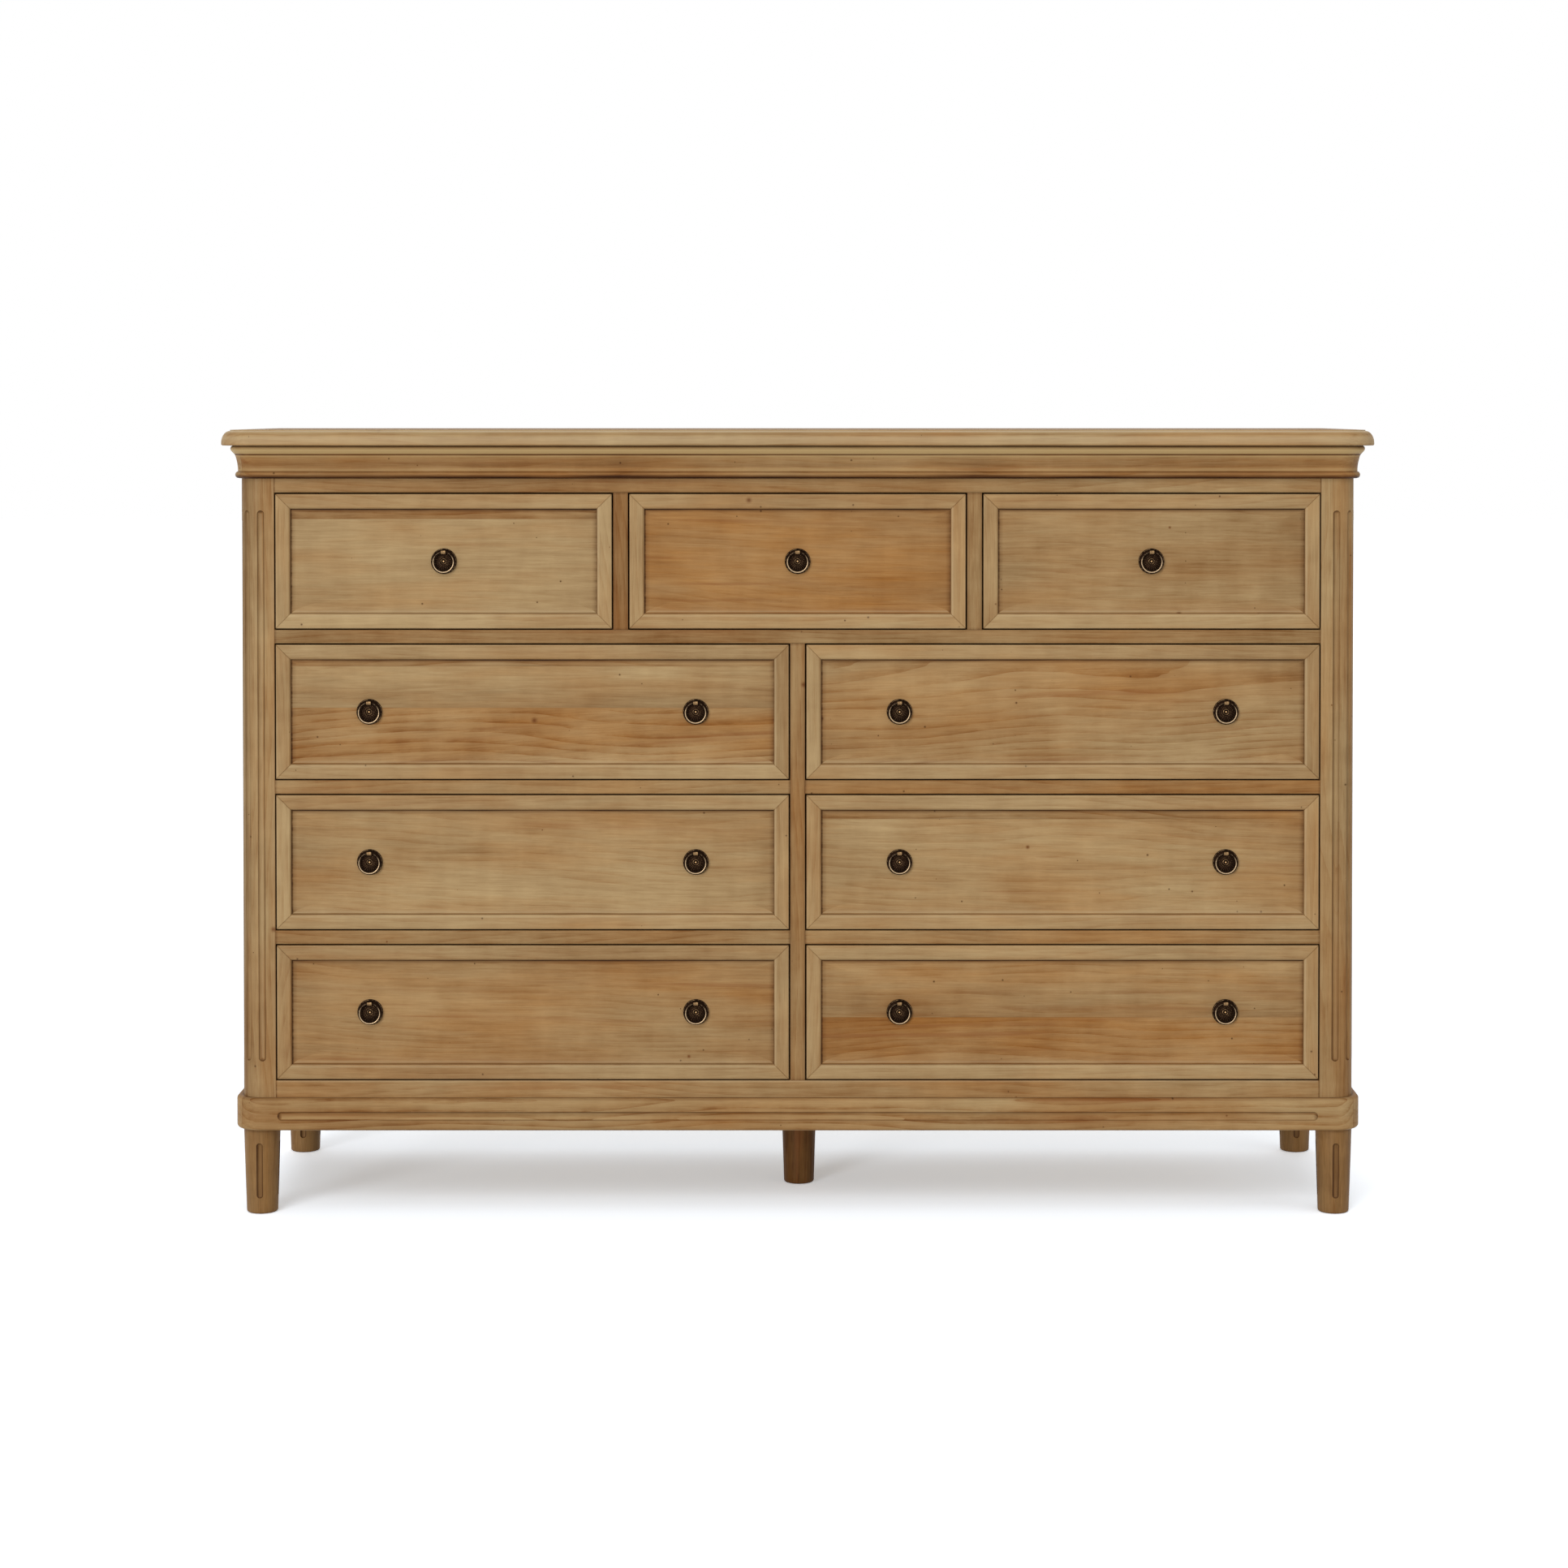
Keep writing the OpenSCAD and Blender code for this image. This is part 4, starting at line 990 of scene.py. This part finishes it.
def sunk_panel(bm, levels, place, axis, joints, boards):
    """A panel drawn as nested rectangles. A level is (left, right, foot, head, depth, dirt), where dirt
    has a value for each of foot, right, head and left. Place turns (across, up, depth) to a point, and
    joints are where its boards meet along an axis."""
    rings = []
    for left, right, foot, head, depth, wax_and_shading in levels:
        c = CORNER_CUT
        points = [(left + c, foot), (right - c, foot), (right, foot + c), (right, head - c),
                  (right - c, head), (left + c, head), (left, head - c), (left, foot + c)]
        rings.append([(*place(u, v, depth), wax_and_shading[i // 2]) for i, (u, v) in enumerate(points)])
    glue_boards(bm, skin(bm, rings, boards[0]), axis, joints, boards, wax=0.3, seam=1.0)


print("a panel's corners are cut by", CORNER_CUT, "mm")

# %% Sides
SIDE_RECESS, SIDE_PANEL_T, PANEL_LAP = 8, 8, 5
FOOT_RAIL_H, HEAD_RAIL_H = 118, 112
SIDE_TONES = [(0.44, 0.20), (0.50, 0.34), (0.42, 0.22)]
# From the groove to the middle: (how far in, depth, its dark wax and painted shade)
SIDE_LEVELS = [(-PANEL_LAP, SIDE_RECESS + SIDE_PANEL_T, 0), (-PANEL_LAP, SIDE_RECESS, 0.9),
               (0, SIDE_RECESS, 0.95), (3, SIDE_RECESS, 0.45), (16, SIDE_RECESS, 0.0)]
for side, mirror in (("left", -1), ("right", 1)):
    node = f"{side}_side_panel"
    low, high = corners(node)
    y0, y1 = low.y + PANEL_LAP, high.y - PANEL_LAP
    foot, head = low.z + FOOT_RAIL_H, high.z - HEAD_RAIL_H
    bm = new_piece()
    for name, z0, z1 in (("foot", low.z, foot), ("head", head, high.z)):
        plank(bm, (low.x, y0, z0), (high.x, y1, z1), saw_board(f"{side} {name} rail", "y", "x", 0.5, 0.25),
              ease=1.5, ends=0.55)
    levels = [(y0 + d, y1 - d, foot + d, head - d, depth, [wax_and_shading] * 4) for d, depth, wax_and_shading in SIDE_LEVELS]
    boards = [saw_board(f"{side} panel {i}", "z", "x", *tone) for i, tone in enumerate(SIDE_TONES)]
    joints = [y0 + (y1 - y0) * i / len(boards) for i in range(1, len(boards))]
    sunk_panel(bm, levels, lambda u, v, depth: (mirror * (SIDE_X - depth), u, v), "y", joints, boards)
    finish_piece(bm, f"side_of_case_{side}", waxed_pine, node)

# %% [markdown]
# The back is never waxed: it is eight rough pine boards with bevelled edges, lapped where they meet, so
# that the back can move with the seasons and no light comes through. Raw pine is paler and duller than
# the waxed fronts. The runners and guides inside are the same raw pine and keep the joiner's own shapes.
# Their material reads the model's place instead, since their boards nearly all run from front to back.

# %% Back boards
# Common name: pine, sawn and left raw. To the eye: dry, pale and without any shine.
RAW_GLAZE, RAW_EDGE = "#4a3018", "#d2b88c"
raw_pine = pine("raw_pine", ("#ccb081", "#8a6a40"), ("#b88c56", "#7d5329"), RAW_GLAZE, RAW_EDGE,
                contrast=0.8, roughness=0.74)
BACK_BOARDS = 8
low, high = corners("back_panel")
pitch = (high.x - low.x) / BACK_BOARDS
uprights = []
for i in range(BACK_BOARDS):
    x = low.x + i * pitch
    tone = random.Random(f"back tone {i}").uniform(0.35, 0.6)
    uprights.append(((x, low.y, low.z), (x + pitch, high.y, high.z),
                     saw_board(f"back board {i}", "z", "y", tone, 0.2)))
join_planks("back_boards", "back_panel", "back_wood", uprights, raw_pine, ends=0.0, edge=0.3)

# %% Runners and guides
RUNNER_FIGURE = 0.3


def from_model(tree):
    """The place in the model, with the fibres from front to back, and the same finish all over."""
    spot = add(tree, "SeparateXYZ", {0: add(tree, "TexCoord")["Object"]})
    turned = add(tree, "CombineXYZ", {0: spot["Y"], 1: spot["X"], 2: spot["Z"]})
    even = add(tree, "CombineXYZ", {0: 0.5, 1: 0.2, 2: 0.0})
    return turned[0], even[0], RUNNER_FIGURE


# Common name: pine, sawn and left raw. To the eye: dry, and a little greyer than the back.
runner_pine = pine("raw_pine_runners", ("#c4a87a", "#80603a"), ("#b08450", "#754c26"), RAW_GLAZE, RAW_EDGE,
                   contrast=0.8, roughness=0.72, grown=from_model)
for node in ("runner_frames", "drawer_guides"):
    for material_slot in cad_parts[node].material_slots:
        material_slot.material = runner_pine
print("runners and guides are", runner_pine.name)

# %% [markdown]
# ## Legs
# The legs are turned on a lathe to a slight taper, and the four at the corners get a flute on each side.
# A lathe sweep gives the round, and the same dipping points as on the posts cut the flutes.
# Legs soak up more stain than the fronts and stand in the case's shadow, so they are browner, partly
# as painted shade, with dust at the foot. Their flutes hold dark wax and painted shade, and painted
# shade lies at their heads under the moulding.

# %% Turned and fluted
LEG_HEAD_R, LEG_FOOT_R, FOOT_EASE = 27, 23, 3
LEG_FLUTE_W, LEG_FLUTE_D, LEG_FLUTE_FOOT, LEG_FLUTE_HEAD = 9, 2.5, 23, 20
LEG_H = corners("base_moulding")[0].z
# Dark wax and painted shade across a flute, from one edge to the other
LEG_FLUTE_WAX_AND_SHADE = (1.0, 0.95, 0.7, 0.45, 0.3, 0.3, 0.4, 0.75, 0.95)
BETWEEN_FLUTES = 7
leg_flute = flute(LEG_FLUTE_FOOT, LEG_H - LEG_FLUTE_HEAD, LEG_FLUTE_W, LEG_FLUTE_D)


def leg_radius(z):
    taper = LEG_FOOT_R + (LEG_HEAD_R - LEG_FOOT_R) * z / LEG_H
    if z >= FOOT_EASE:
        return taper
    return taper - FOOT_EASE + math.sqrt(FOOT_EASE ** 2 - (FOOT_EASE - z) ** 2)


def turn_leg(bm, x, y, fluted, board):
    heights = [FOOT_EASE * (1 - math.cos(math.radians(a))) for a in (0, 30, 60, 90)]
    heights += [12, *flute_stops(leg_flute), LEG_H - 6, LEG_H]
    rings = []
    for z in heights:
        r = leg_radius(z)
        # Dust at the foot, and painted shade at the head under the base moulding
        dust_and_shade = 0.35 if z < 2 else 0.5 if z > LEG_H - 1 else 0
        across = flute_section(leg_flute, z if fluted else 0, LEG_FLUTE_WAX_AND_SHADE)
        last = across[-1][0]
        gap = math.pi / 2 * r - 2 * last
        across += [(last + gap * i / BETWEEN_FLUTES, 0, 0) for i in range(1, BETWEEN_FLUTES)]
        ring = []
        for quarter in range(4):
            for u, deep, wax_and_shading in across:
                a = math.pi / 2 * quarter + u / r
                ring.append((x + (r - deep) * math.sin(a), y - (r - deep) * math.cos(a), z,
                             stronger(wax_and_shading, dust_and_shade)))
        rings.append(ring)
    skin(bm, rings, board)


print("a leg is", round(LEG_H), "mm high")

# %% Legs
low, high = corners("corner_legs")
leg_x = high.x - LEG_HEAD_R
bm = new_piece()
for name, y in (("front", low.y + LEG_HEAD_R), ("back", high.y - LEG_HEAD_R)):
    # The left legs are painted lighter than the right ones, as lit from the left
    for x, shade in ((-leg_x, 0.40), (leg_x, 0.55)):
        turn_leg(bm, x, y, True, saw_board(f"leg {name} {x}", "z", "y", shade, 0.25, heart=(10, 20)))
finish_piece(bm, "turned_corner_legs", turned_pine, "corner_legs")
low, high = corners("centre_leg")
bm = new_piece()
# The centre leg, deep under the case, is painted darker as shade
turn_leg(bm, 0, (low.y + high.y) / 2, False, saw_board("centre leg", "z", "y", 0.85, 0.6, heart=(10, 20)))
finish_piece(bm, "turned_centre_leg", turned_pine, "centre_leg")

# %% [markdown]
# ## Drawer fronts
# Each front is a frame of four mitred lengths round a sunk flat panel. The frame is pale, cut from
# straight sticks, and each panel is its own board or two, from straw to orange. The dresser's charm lies
# in that mix, so every drawer gets its own boards. A bevelled box could pass for a frame member, but here
# it is skinned between two slanted ends, so the mitres are true joints, and it has the panel's groove.

# %% The boards of each drawer
# Each drawer: its panel's boards from the foot up as (shade, amber, figure, slope), where they meet
# as shares of its height, and its frame's shade and amber. One panel is cut nearer to the log's heart.
DRAWERS = {
    "top_left": ([(0.35, 0.0, 0.2, 0.3), (0.58, 0.42, 0.6, 0.2)], [0.815], (0.36, 0.09)),
    "top_middle": ([(0.39, 0.62, 0.25, 0.4)], [], (0.40, 0.16)),
    "top_right": ([(0.48, 0.16, 0.25, -0.3)], [], (0.42, 0.12)),
    "upper_left": ([(0.34, 0.46, 0.8, -3.4), (0.27, 0.12, 0.2, 0.2), (0.40, 0.44, 0.5, 0.2)],
                   [0.53, 0.84], (0.50, 0.12)),
    "upper_right": ([(0.43, 0.27, 0.55, -1.6, (70, 38))], [], (0.45, 0.11)),
    "lower_left": ([(0.38, 0.14, 0.3, 0.5)], [], (0.42, 0.13)),
    "lower_right": ([(0.36, 0.20, 0.3, 0.8), (0.42, 0.38, 0.6, 0.4)], [0.82], (0.42, 0.13)),
    "bottom_left": ([(0.42, 0.34, 0.3, 1.0)], [], (0.52, 0.17)),
    "bottom_right": ([(0.44, 0.72, 0.5, -0.8), (0.34, 0.30, 0.4, 0.4)], [0.46], (0.46, 0.13)),
}
print("drawers:", len(DRAWERS))

# %% Frame members
FRAME_W, FRAME_EASE, INNER_EASE, FRONT_T = 22, 2, 3.6, 20
RECESS, TONGUE_T, GROOVE = 4.5, 8, 6
GLUE = 0.1
# Each member: how much browner it is than its drawer's frame, how dark the wax and painted shade of the
# gap lie on its outer side, and the wax, wear and painted light and shade over its softened inner edge,
# from the panel out: the left is shaded darkest, and the foot and the right carry painted highlights
MEMBERS = {
    "foot": (-0.02, 0.45, (0.7, 0.3, 0.0, -0.25, -0.25)),
    "head": (0.0, 0.45, (0.4, 0.1, 0.0, 0.0, 0.0)),
    "left": (-0.03, 1.0, (0.7, 0.45, 0.25, 0.05, -0.1)),
    "right": (0.01, 1.0, (0.5, 0.1, -0.3, -0.35, -0.15)),
}


def frame_section(gap_wax_and_shade, inner_wax_and_shading):
    """(depth, how far in from the outer edge, dirt) round a frame member."""
    front, back = RECESS - GLUE, RECESS + TONGUE_T + GLUE
    section = [(FRONT_T, 0, 0.2), (FRONT_T, FRAME_W, 0), (back, FRAME_W, 0), (back, FRAME_W - GROOVE, 0),
               (front, FRAME_W - GROOVE, 0.8), (front, FRAME_W, 0.8), (RECESS - 0.7, FRAME_W, inner_wax_and_shading[0])]
    section += waxed_and_shaded_arc(INNER_EASE, FRAME_W - INNER_EASE, INNER_EASE, 90, 180, inner_wax_and_shading)
    section += [(0, FRAME_W - INNER_EASE - 2, 0), (0, FRAME_EASE + 2, 0)]
    # The outer arris is rubbed pale with a painted highlight, and the side darkens into the gap with wax and
    # painted shade
    section += waxed_and_shaded_arc(FRAME_EASE, FRAME_EASE, FRAME_EASE, 180, 270,
                         (0.0, -0.15, -0.2, 0.2, 0.8 * gap_wax_and_shade))
    return section + [(FRAME_EASE + 3, 0, gap_wax_and_shade), (FRAME_EASE + 8, 0, 0.25)]


def frame_member(bm, section, length, place, board):
    """One mitred length. Place turns (along, in from the outer edge, depth) to a point."""
    rings = []
    for end, drawn, mitre in ((-1, GLUE, 0.35), (-1, 1.6, -0.05), (1, 1.6, -0.05), (1, GLUE, 0.35)):
        rings.append([(*place(end * (length / 2 - inward - drawn), inward, depth), stronger(wax_and_shading, mitre))
                      for depth, inward, wax_and_shading in section])
    skin(bm, rings, board)


print("a frame member has", len(frame_section(0, [0] * 5)), "points round it")

# %% Frames and panels
# From the panel's back, over its tongue, to the middle of its face: how far in at its sides and at its
# foot and head, its depth, and the wax and shading at foot, right, head and left. Dark wax and painted
# shade lie thickest under the head, then along the left and right, and painted light makes the foot pale.
IN_GROOVE, PANEL_BACK = FRAME_W - GROOVE + 1, RECESS + TONGUE_T
PANEL_LEVELS = [
    (FRAME_W + 1, FRAME_W + 1, FRONT_T, [0] * 4), (FRAME_W + 1, FRAME_W + 1, PANEL_BACK, [0] * 4),
    (IN_GROOVE, IN_GROOVE, PANEL_BACK, [0] * 4), (IN_GROOVE, IN_GROOVE, RECESS, [1] * 4),
    (FRAME_W, FRAME_W, RECESS, (0.5, 0.8, 1.0, 0.75)),
    (FRAME_W + 1.2, FRAME_W + 1, RECESS, (0.3, 0.5, 0.85, 0.75)),
    (FRAME_W + 2.8, FRAME_W + 2.2, RECESS, (-0.3, 0.42, 0.5, 0.4)),
    (FRAME_W + 8, FRAME_W + 6, RECESS, (-0.05, 0.15, 0.06, 0.14)),
    (FRAME_W + 30, FRAME_W + 14, RECESS, (0.0, 0.10, 0.02, 0.12)),
    (FRAME_W + 90, FRAME_W + 24, RECESS, [0] * 4),
]
for drawer, (panel, joints, (shade, amber)) in DRAWERS.items():
    low, high = corners(f"{drawer}_front")
    middle = (low + high) / 2
    # The outer edge of each member faces down, up, left or right
    facing = {
        "foot": ("x", high.x - low.x, lambda u, v, d: (middle.x + u, low.y + d, low.z + v)),
        "head": ("x", high.x - low.x, lambda u, v, d: (middle.x + u, low.y + d, high.z - v)),
        "left": ("z", high.z - low.z, lambda u, v, d: (low.x + v, low.y + d, middle.z + u)),
        "right": ("z", high.z - low.z, lambda u, v, d: (high.x - v, low.y + d, middle.z + u)),
    }
    bm = new_piece()
    for name, (along, length, place) in facing.items():
        browner, gap_wax_and_shade, inner_wax_and_shading = MEMBERS[name]
        tone = shade + browner + random.Random(f"{drawer} {name} tone").uniform(-0.04, 0.04)
        board = saw_board(f"{drawer} {name}", along, "y", tone, amber, 0.3)
        frame_member(bm, frame_section(gap_wax_and_shade, inner_wax_and_shading), length, place, board)
    levels = [(low.x + aside, high.x - aside, low.z + up, high.z - up, depth, wax_and_shading)
              for aside, up, depth, wax_and_shading in PANEL_LEVELS]
    boards = [saw_board(f"{drawer} panel {i}", "x", "y", *board) for i, board in enumerate(panel)]
    cuts = [low.z + (high.z - low.z) * share for share in joints]
    sunk_panel(bm, levels, lambda u, v, d: (u, low.y + d, v), "z", cuts, boards)
    finish_piece(bm, f"{drawer}_framed_front", waxed_pine, f"{drawer}_front",
                 f"{drawer}_drawer")

# %% [markdown]
# ## Drawer boxes
# Behind each front hangs a plain box: a board behind the front, two sides, a back and a thin bottom in
# grooves. The sides are dovetailed into the board behind the front, since that joint takes the pull. Each
# tail is cut in the side's own outline, and the end grain of the pins shows between the tails.

# %% Dovetailed sides
BACKING_T, BOX_SIDE_T, SIDE_LAP = 14, 12, 8
TAILS = 4
TAIL_FLARE = 1.6


def dovetails(low, high, backing_y, lap_y):
    """The outline of a side, which ends in tails, and of the pins between them, as (y, z)."""
    pitch = (high.z - low.z) / TAILS
    outline = [(high.y, low.z), (high.y, high.z), (backing_y, high.z)]
    pins = []
    above, flare = high.z, 0
    for i in reversed(range(TAILS)):
        root0, root1 = low.z + pitch * (i + 0.2), low.z + pitch * (i + 0.8)
        pins.append([(backing_y, above), (lap_y, above - flare), (lap_y, root1 + TAIL_FLARE),
                     (backing_y, root1)])
        outline += [(backing_y, root1), (lap_y, root1 + TAIL_FLARE), (lap_y, root0 - TAIL_FLARE),
                    (backing_y, root0)]
        above, flare = root0, TAIL_FLARE
    pins.append([(backing_y, above), (lap_y, above - flare), (lap_y, low.z), (backing_y, low.z)])
    return outline + [(backing_y, low.z)], pins


def side_slab(bm, outline, x0, x1, board, wax_and_shading=0.0):
    skin(bm, [[(x, y, z, wax_and_shading) for y, z in outline] for x in (x0, x1)], board)


print("a side has", TAILS, "tails")

# %% Drawer boxes
# Common name: pine, planed and clear waxed. To the eye: pale and clean, with a faint shine.
box_pine = pine("box_pine", ("#d2b88c", "#93703f"), ("#bf9460", "#855a2d"), "#5a3a1c", "#dcc59c",
                contrast=0.75, roughness=0.62)
BOTTOM_RISE, BOTTOM_T, BACK_DROP = 8, 6, 12
for drawer in DRAWERS:
    low, high = corners(f"{drawer}_box")
    backing_y = low.y + BACKING_T
    lap_y = backing_y - SIDE_LAP
    bottom_z = low.z + BOTTOM_RISE
    inner0, inner1 = low.x + BOX_SIDE_T, high.x - BOX_SIDE_T
    backing = saw_board(f"{drawer} backing", "x", "y", 0.45, 0.2)
    bm = new_piece()
    plank(bm, low, (high.x, lap_y, high.z), backing, ends=0, edge=-0.1)
    plank(bm, (inner0, lap_y, low.z), (inner1, backing_y, high.z), backing, ends=0.3, edge=-0.1)
    outline, pins = dovetails(low, high, backing_y, lap_y)
    for side, x0, x1 in (("left", low.x, inner0), ("right", inner1, high.x)):
        side_slab(bm, outline, x0, x1, saw_board(f"{drawer} {side} side", "y", "x", 0.42, 0.15))
        for pin in pins:
            side_slab(bm, pin, x0, x1, saw_board(f"{drawer} {side} pin", "x", "y", 0.72, 0.3), wax_and_shading=0.12)
    plank(bm, (inner0, high.y - BOX_SIDE_T, bottom_z + BOTTOM_T), (inner1, high.y, high.z - BACK_DROP),
          saw_board(f"{drawer} back", "x", "y", 0.45, 0.18), ends=0.4)
    plank(bm, (inner0, backing_y, bottom_z), (inner1, high.y, bottom_z + BOTTOM_T),
          saw_board(f"{drawer} bottom", "x", "z", 0.38, 0.12), ease=0.5, edge=0.6, ends=0.6, fade=10)
    finish_piece(bm, f"{drawer}_dovetailed_box", box_pine, f"{drawer}_box",
                 f"{drawer}_drawer")

# %% [markdown]
# ## Bronze pulls
# Each pull is a cast bronze rose with a lug, and a ring that hangs in the lug. The casting was blackened
# and then rubbed, so the hollows are almost black and the high places glow. The rose has a raised rim,
# a sunburst of small flutes, and a bead in the middle. A bump could draw the rays, but they catch light
# of their own, so the rings of a lathe sweep dip between them. How much each place is rubbed rides on
# the points.

# %% Blackened bronze
CAST_GRAIN = 2.2


def bronze(name, rubbed_code):
    material = bpy.data.materials.new(name)
    material.use_nodes = True
    tree = material.node_tree
    shader = tree.nodes["Principled BSDF"].inputs
    relief = add(tree, "SeparateXYZ", {0: add(tree, "Attribute", attribute_name="finish_and_shading")["Vector"]})["Z"]
    spot = add(tree, "Attribute", attribute_name="grain")["Vector"]
    grit = add(tree, "TexNoise", {"Vector": spot, "Scale": 1 / (CAST_GRAIN * MM), "Detail": 3.0})["Fac"]
    blot = add(tree, "Math", {0: grit, 1: 0.9, 2: -0.45}, operation="MULTIPLY_ADD")
    height = add(tree, "Math", {0: blot[0], 1: relief}, operation="SUBTRACT")
    rubbed = add(tree, "MapRange", {"Value": height[0], "From Min": 0.15, "From Max": 0.85})[0]
    colour = add(tree, "Mix", {0: rubbed, 6: linear("#1f130c"), 7: linear(rubbed_code)}, data_type="RGBA")
    shine = add(tree, "MapRange", {"Value": rubbed, "To Min": 0.52, "To Max": 0.30})
    bump = add(tree, "Bump", {"Strength": 0.3, "Distance": 0.08 * MM, "Height": grit})
    tree.links.new(colour[2], shader["Base Color"])
    tree.links.new(shine[0], shader["Roughness"])
    tree.links.new(bump[0], shader["Normal"])
    shader["Metallic"].default_value = 1.0
    return material


# Common name: bronze, cast, blackened and rubbed. To the eye: black-brown with warm metal on each ridge.
rose_bronze = bronze("blackened_bronze", "#b89468")
# The rings are handled more, and their metal is paler
ring_bronze = bronze("blackened_bronze_ring", "#b59a78")
CASTING = saw_board("casting", "x", "y", 0, 0)
print("the casting's grain is", CAST_GRAIN, "mm")

# %% Rose
RAYS = 24
RAY_POINTS = 4
# The rose from its rim to its middle: (radius, height, dirt, how deep the rays are cut there)
ROSE = [
    (19, 0, 1, 0), (19, 0.9, 1.0, 0), (18.5, 1.6, -0.15, 0), (17.7, 1.9, -0.25, 0), (16.9, 1.6, 0.8, 0),
    (16.2, 1.2, 1.0, 0), (15.4, 1.7, 0.6, 0.15), (14.2, 2.1, 0.0, 0.5), (13.2, 2.3, -0.35, 0.55),
    (12.4, 2.45, 0.3, 0.55), (11.4, 2.6, -0.4, 0.5), (10.6, 2.7, 0.3, 0.5), (9.6, 2.8, -0.45, 0.45),
    (8.8, 2.85, 0.3, 0.4), (7.9, 2.9, -0.45, 0.3), (7.3, 2.7, 0.6, 0), (6.6, 3.1, -0.3, 0),
    (5.8, 3.0, 0.3, 0), (5.0, 2.7, 1.0, 0), (4.3, 3.0, -0.1, 0), (3.9, 3.2, -0.5, 0), (3.3, 3.0, 0.3, 0),
    (2.6, 2.6, 1.0, 0), (1.7, 2.7, 0.8, 0), (1.5, 3.5, -0.6, 0), (1.1, 4.1, -1.0, 0), (0.5, 4.35, -1.0, 0),
]
panel_y = corners("top_left_front")[0].y + RECESS


def circle(points, r):
    return [(r * math.cos(math.tau * i / points), r * math.sin(math.tau * i / points)) for i in range(points)]


def cast_rose(bm, x, z):
    rings = []
    for r, height, wax_and_shading, cut in ROSE:
        ring = []
        for i, (u, v) in enumerate(circle(RAYS * RAY_POINTS, r)):
            valley = (1 - math.cos(math.tau * i / RAY_POINTS)) / 2
            ring.append((x + u, panel_y - height + cut * valley, z + v, wax_and_shading + (0.7 * valley if cut else 0)))
        rings.append(ring)
    skin(bm, rings, CASTING)


print("a rose has", RAYS, "rays")

# %% Lug, screw and nut
PIVOT_UP, PIVOT_OUT, LUG_L, LUG_R, HOLE_R = 14, 7.5, 7, 3.4, 2.15
SCREW_R, NUT_R, NUT_T, SCREW_TAIL = 2.25, 5, 3.5, 2


LUG_HALF = LUG_L / 2
# Across the eye that holds the ring: (place, radius, dirt)
EYE = [(-LUG_HALF, LUG_R - 0.4, -0.2), (0.4 - LUG_HALF, LUG_R, -0.5), (LUG_HALF - 0.4, LUG_R, -0.5),
       (LUG_HALF, LUG_R - 0.4, -0.2), (LUG_HALF, HOLE_R, 1), (-LUG_HALF, HOLE_R, 1)]


def cast_lug(bm, x, z):
    """The eye, rubbed bright where it looks out and down, and the stem that carries it."""
    y, z = panel_y - PIVOT_OUT, z + PIVOT_UP
    rings = []
    for across, r, wax_and_shading in EYE:
        rings.append([(x + across, y + u, z + v, wax_and_shading if -0.95 * r < v < 0.5 * r and u < 0 else 0.8)
                      for u, v in circle(24, r)])
    skin(bm, rings, CASTING, closed=True)
    w = LUG_HALF - 0.4
    stem = [(-w, -HOLE_R), (w, -HOLE_R), (w, HOLE_R), (-w, HOLE_R)]
    skin(bm, [[(x + u, panel_y - out, z + v, 0.5) for u, v in stem]
              for out in (1.0, PIVOT_OUT - HOLE_R - 0.5)], CASTING)


def turned_rod(bm, x, z, sides, stations, wax_and_shading):
    """A rod from front to back, with a radius at each place in y."""
    skin(bm, [[(x + u, y, z + v, wax_and_shading) for u, v in circle(sides, r)] for y, r in stations], CASTING)


def screw_and_nut(bm, x, z, nut_y):
    head = nut_y + NUT_T
    tip = head + SCREW_TAIL
    turned_rod(bm, x, z, 20, ((panel_y + 1, SCREW_R), (tip - 0.5, SCREW_R), (tip, SCREW_R - 0.5)), 0)
    turned_rod(bm, x, z, 6, ((nut_y, NUT_R), (head - 0.5, NUT_R), (head, NUT_R - 0.5)), -0.1)


print("a lug is", LUG_L, "mm wide")

# %% Roses on the drawers
PULL_OFFSET = 241
pulls = {}
for drawer in DRAWERS:
    low, high = corners(f"{drawer}_front")
    middle = (low + high) / 2
    wide = {"ring_left": -PULL_OFFSET, "ring_right": PULL_OFFSET}
    bm = new_piece()
    for ring, offset in ({"ring": 0} if drawer.startswith("top_") else wide).items():
        x = middle.x + offset
        cast_rose(bm, x, middle.z)
        cast_lug(bm, x, middle.z)
        screw_and_nut(bm, x, middle.z, high.y + BACKING_T)
        pulls[f"{drawer}_{ring}"] = (x, middle.z)
    finish_piece(bm, f"{drawer}_bronze_roses", rose_bronze, f"{drawer}_plates",
                 f"{drawer}_drawer")

# %% [markdown]
# The ring is a plain bronze hoop. A torus would do, but fingers have rubbed the hoop where they pull:
# along the front and at the foot, so its front is bright and its back, where it lies against the rose,
# stays black. A skinned hoop carries that wear on its points.

# %% Rings
RING_R, WIRE_R = 15, 1.5
RING_STEPS, WIRE_STEPS = 72, 18
for ring, (x, z) in pulls.items():
    centre = Vector((x, panel_y - PIVOT_OUT, z + PIVOT_UP - RING_R))
    rings = []
    for i in range(RING_STEPS):
        a = math.tau * i / RING_STEPS
        out = Vector((math.sin(a), 0, -math.cos(a)))
        hoop = []
        for u, v in circle(WIRE_STEPS, WIRE_R):
            rubbed = max(-v / WIRE_R, 0) ** 3 * (0.80 + 0.25 * math.cos(a))
            hoop.append((*(centre + out * (RING_R + u) + Vector((0, v, 0))), 0.6 - 1.5 * rubbed))
        rings.append(hoop)
    bm = new_piece()
    skin(bm, rings, CASTING, closed=True)
    finish_piece(bm, f"{ring}_hoop", ring_bronze, ring, f"{ring}_body")
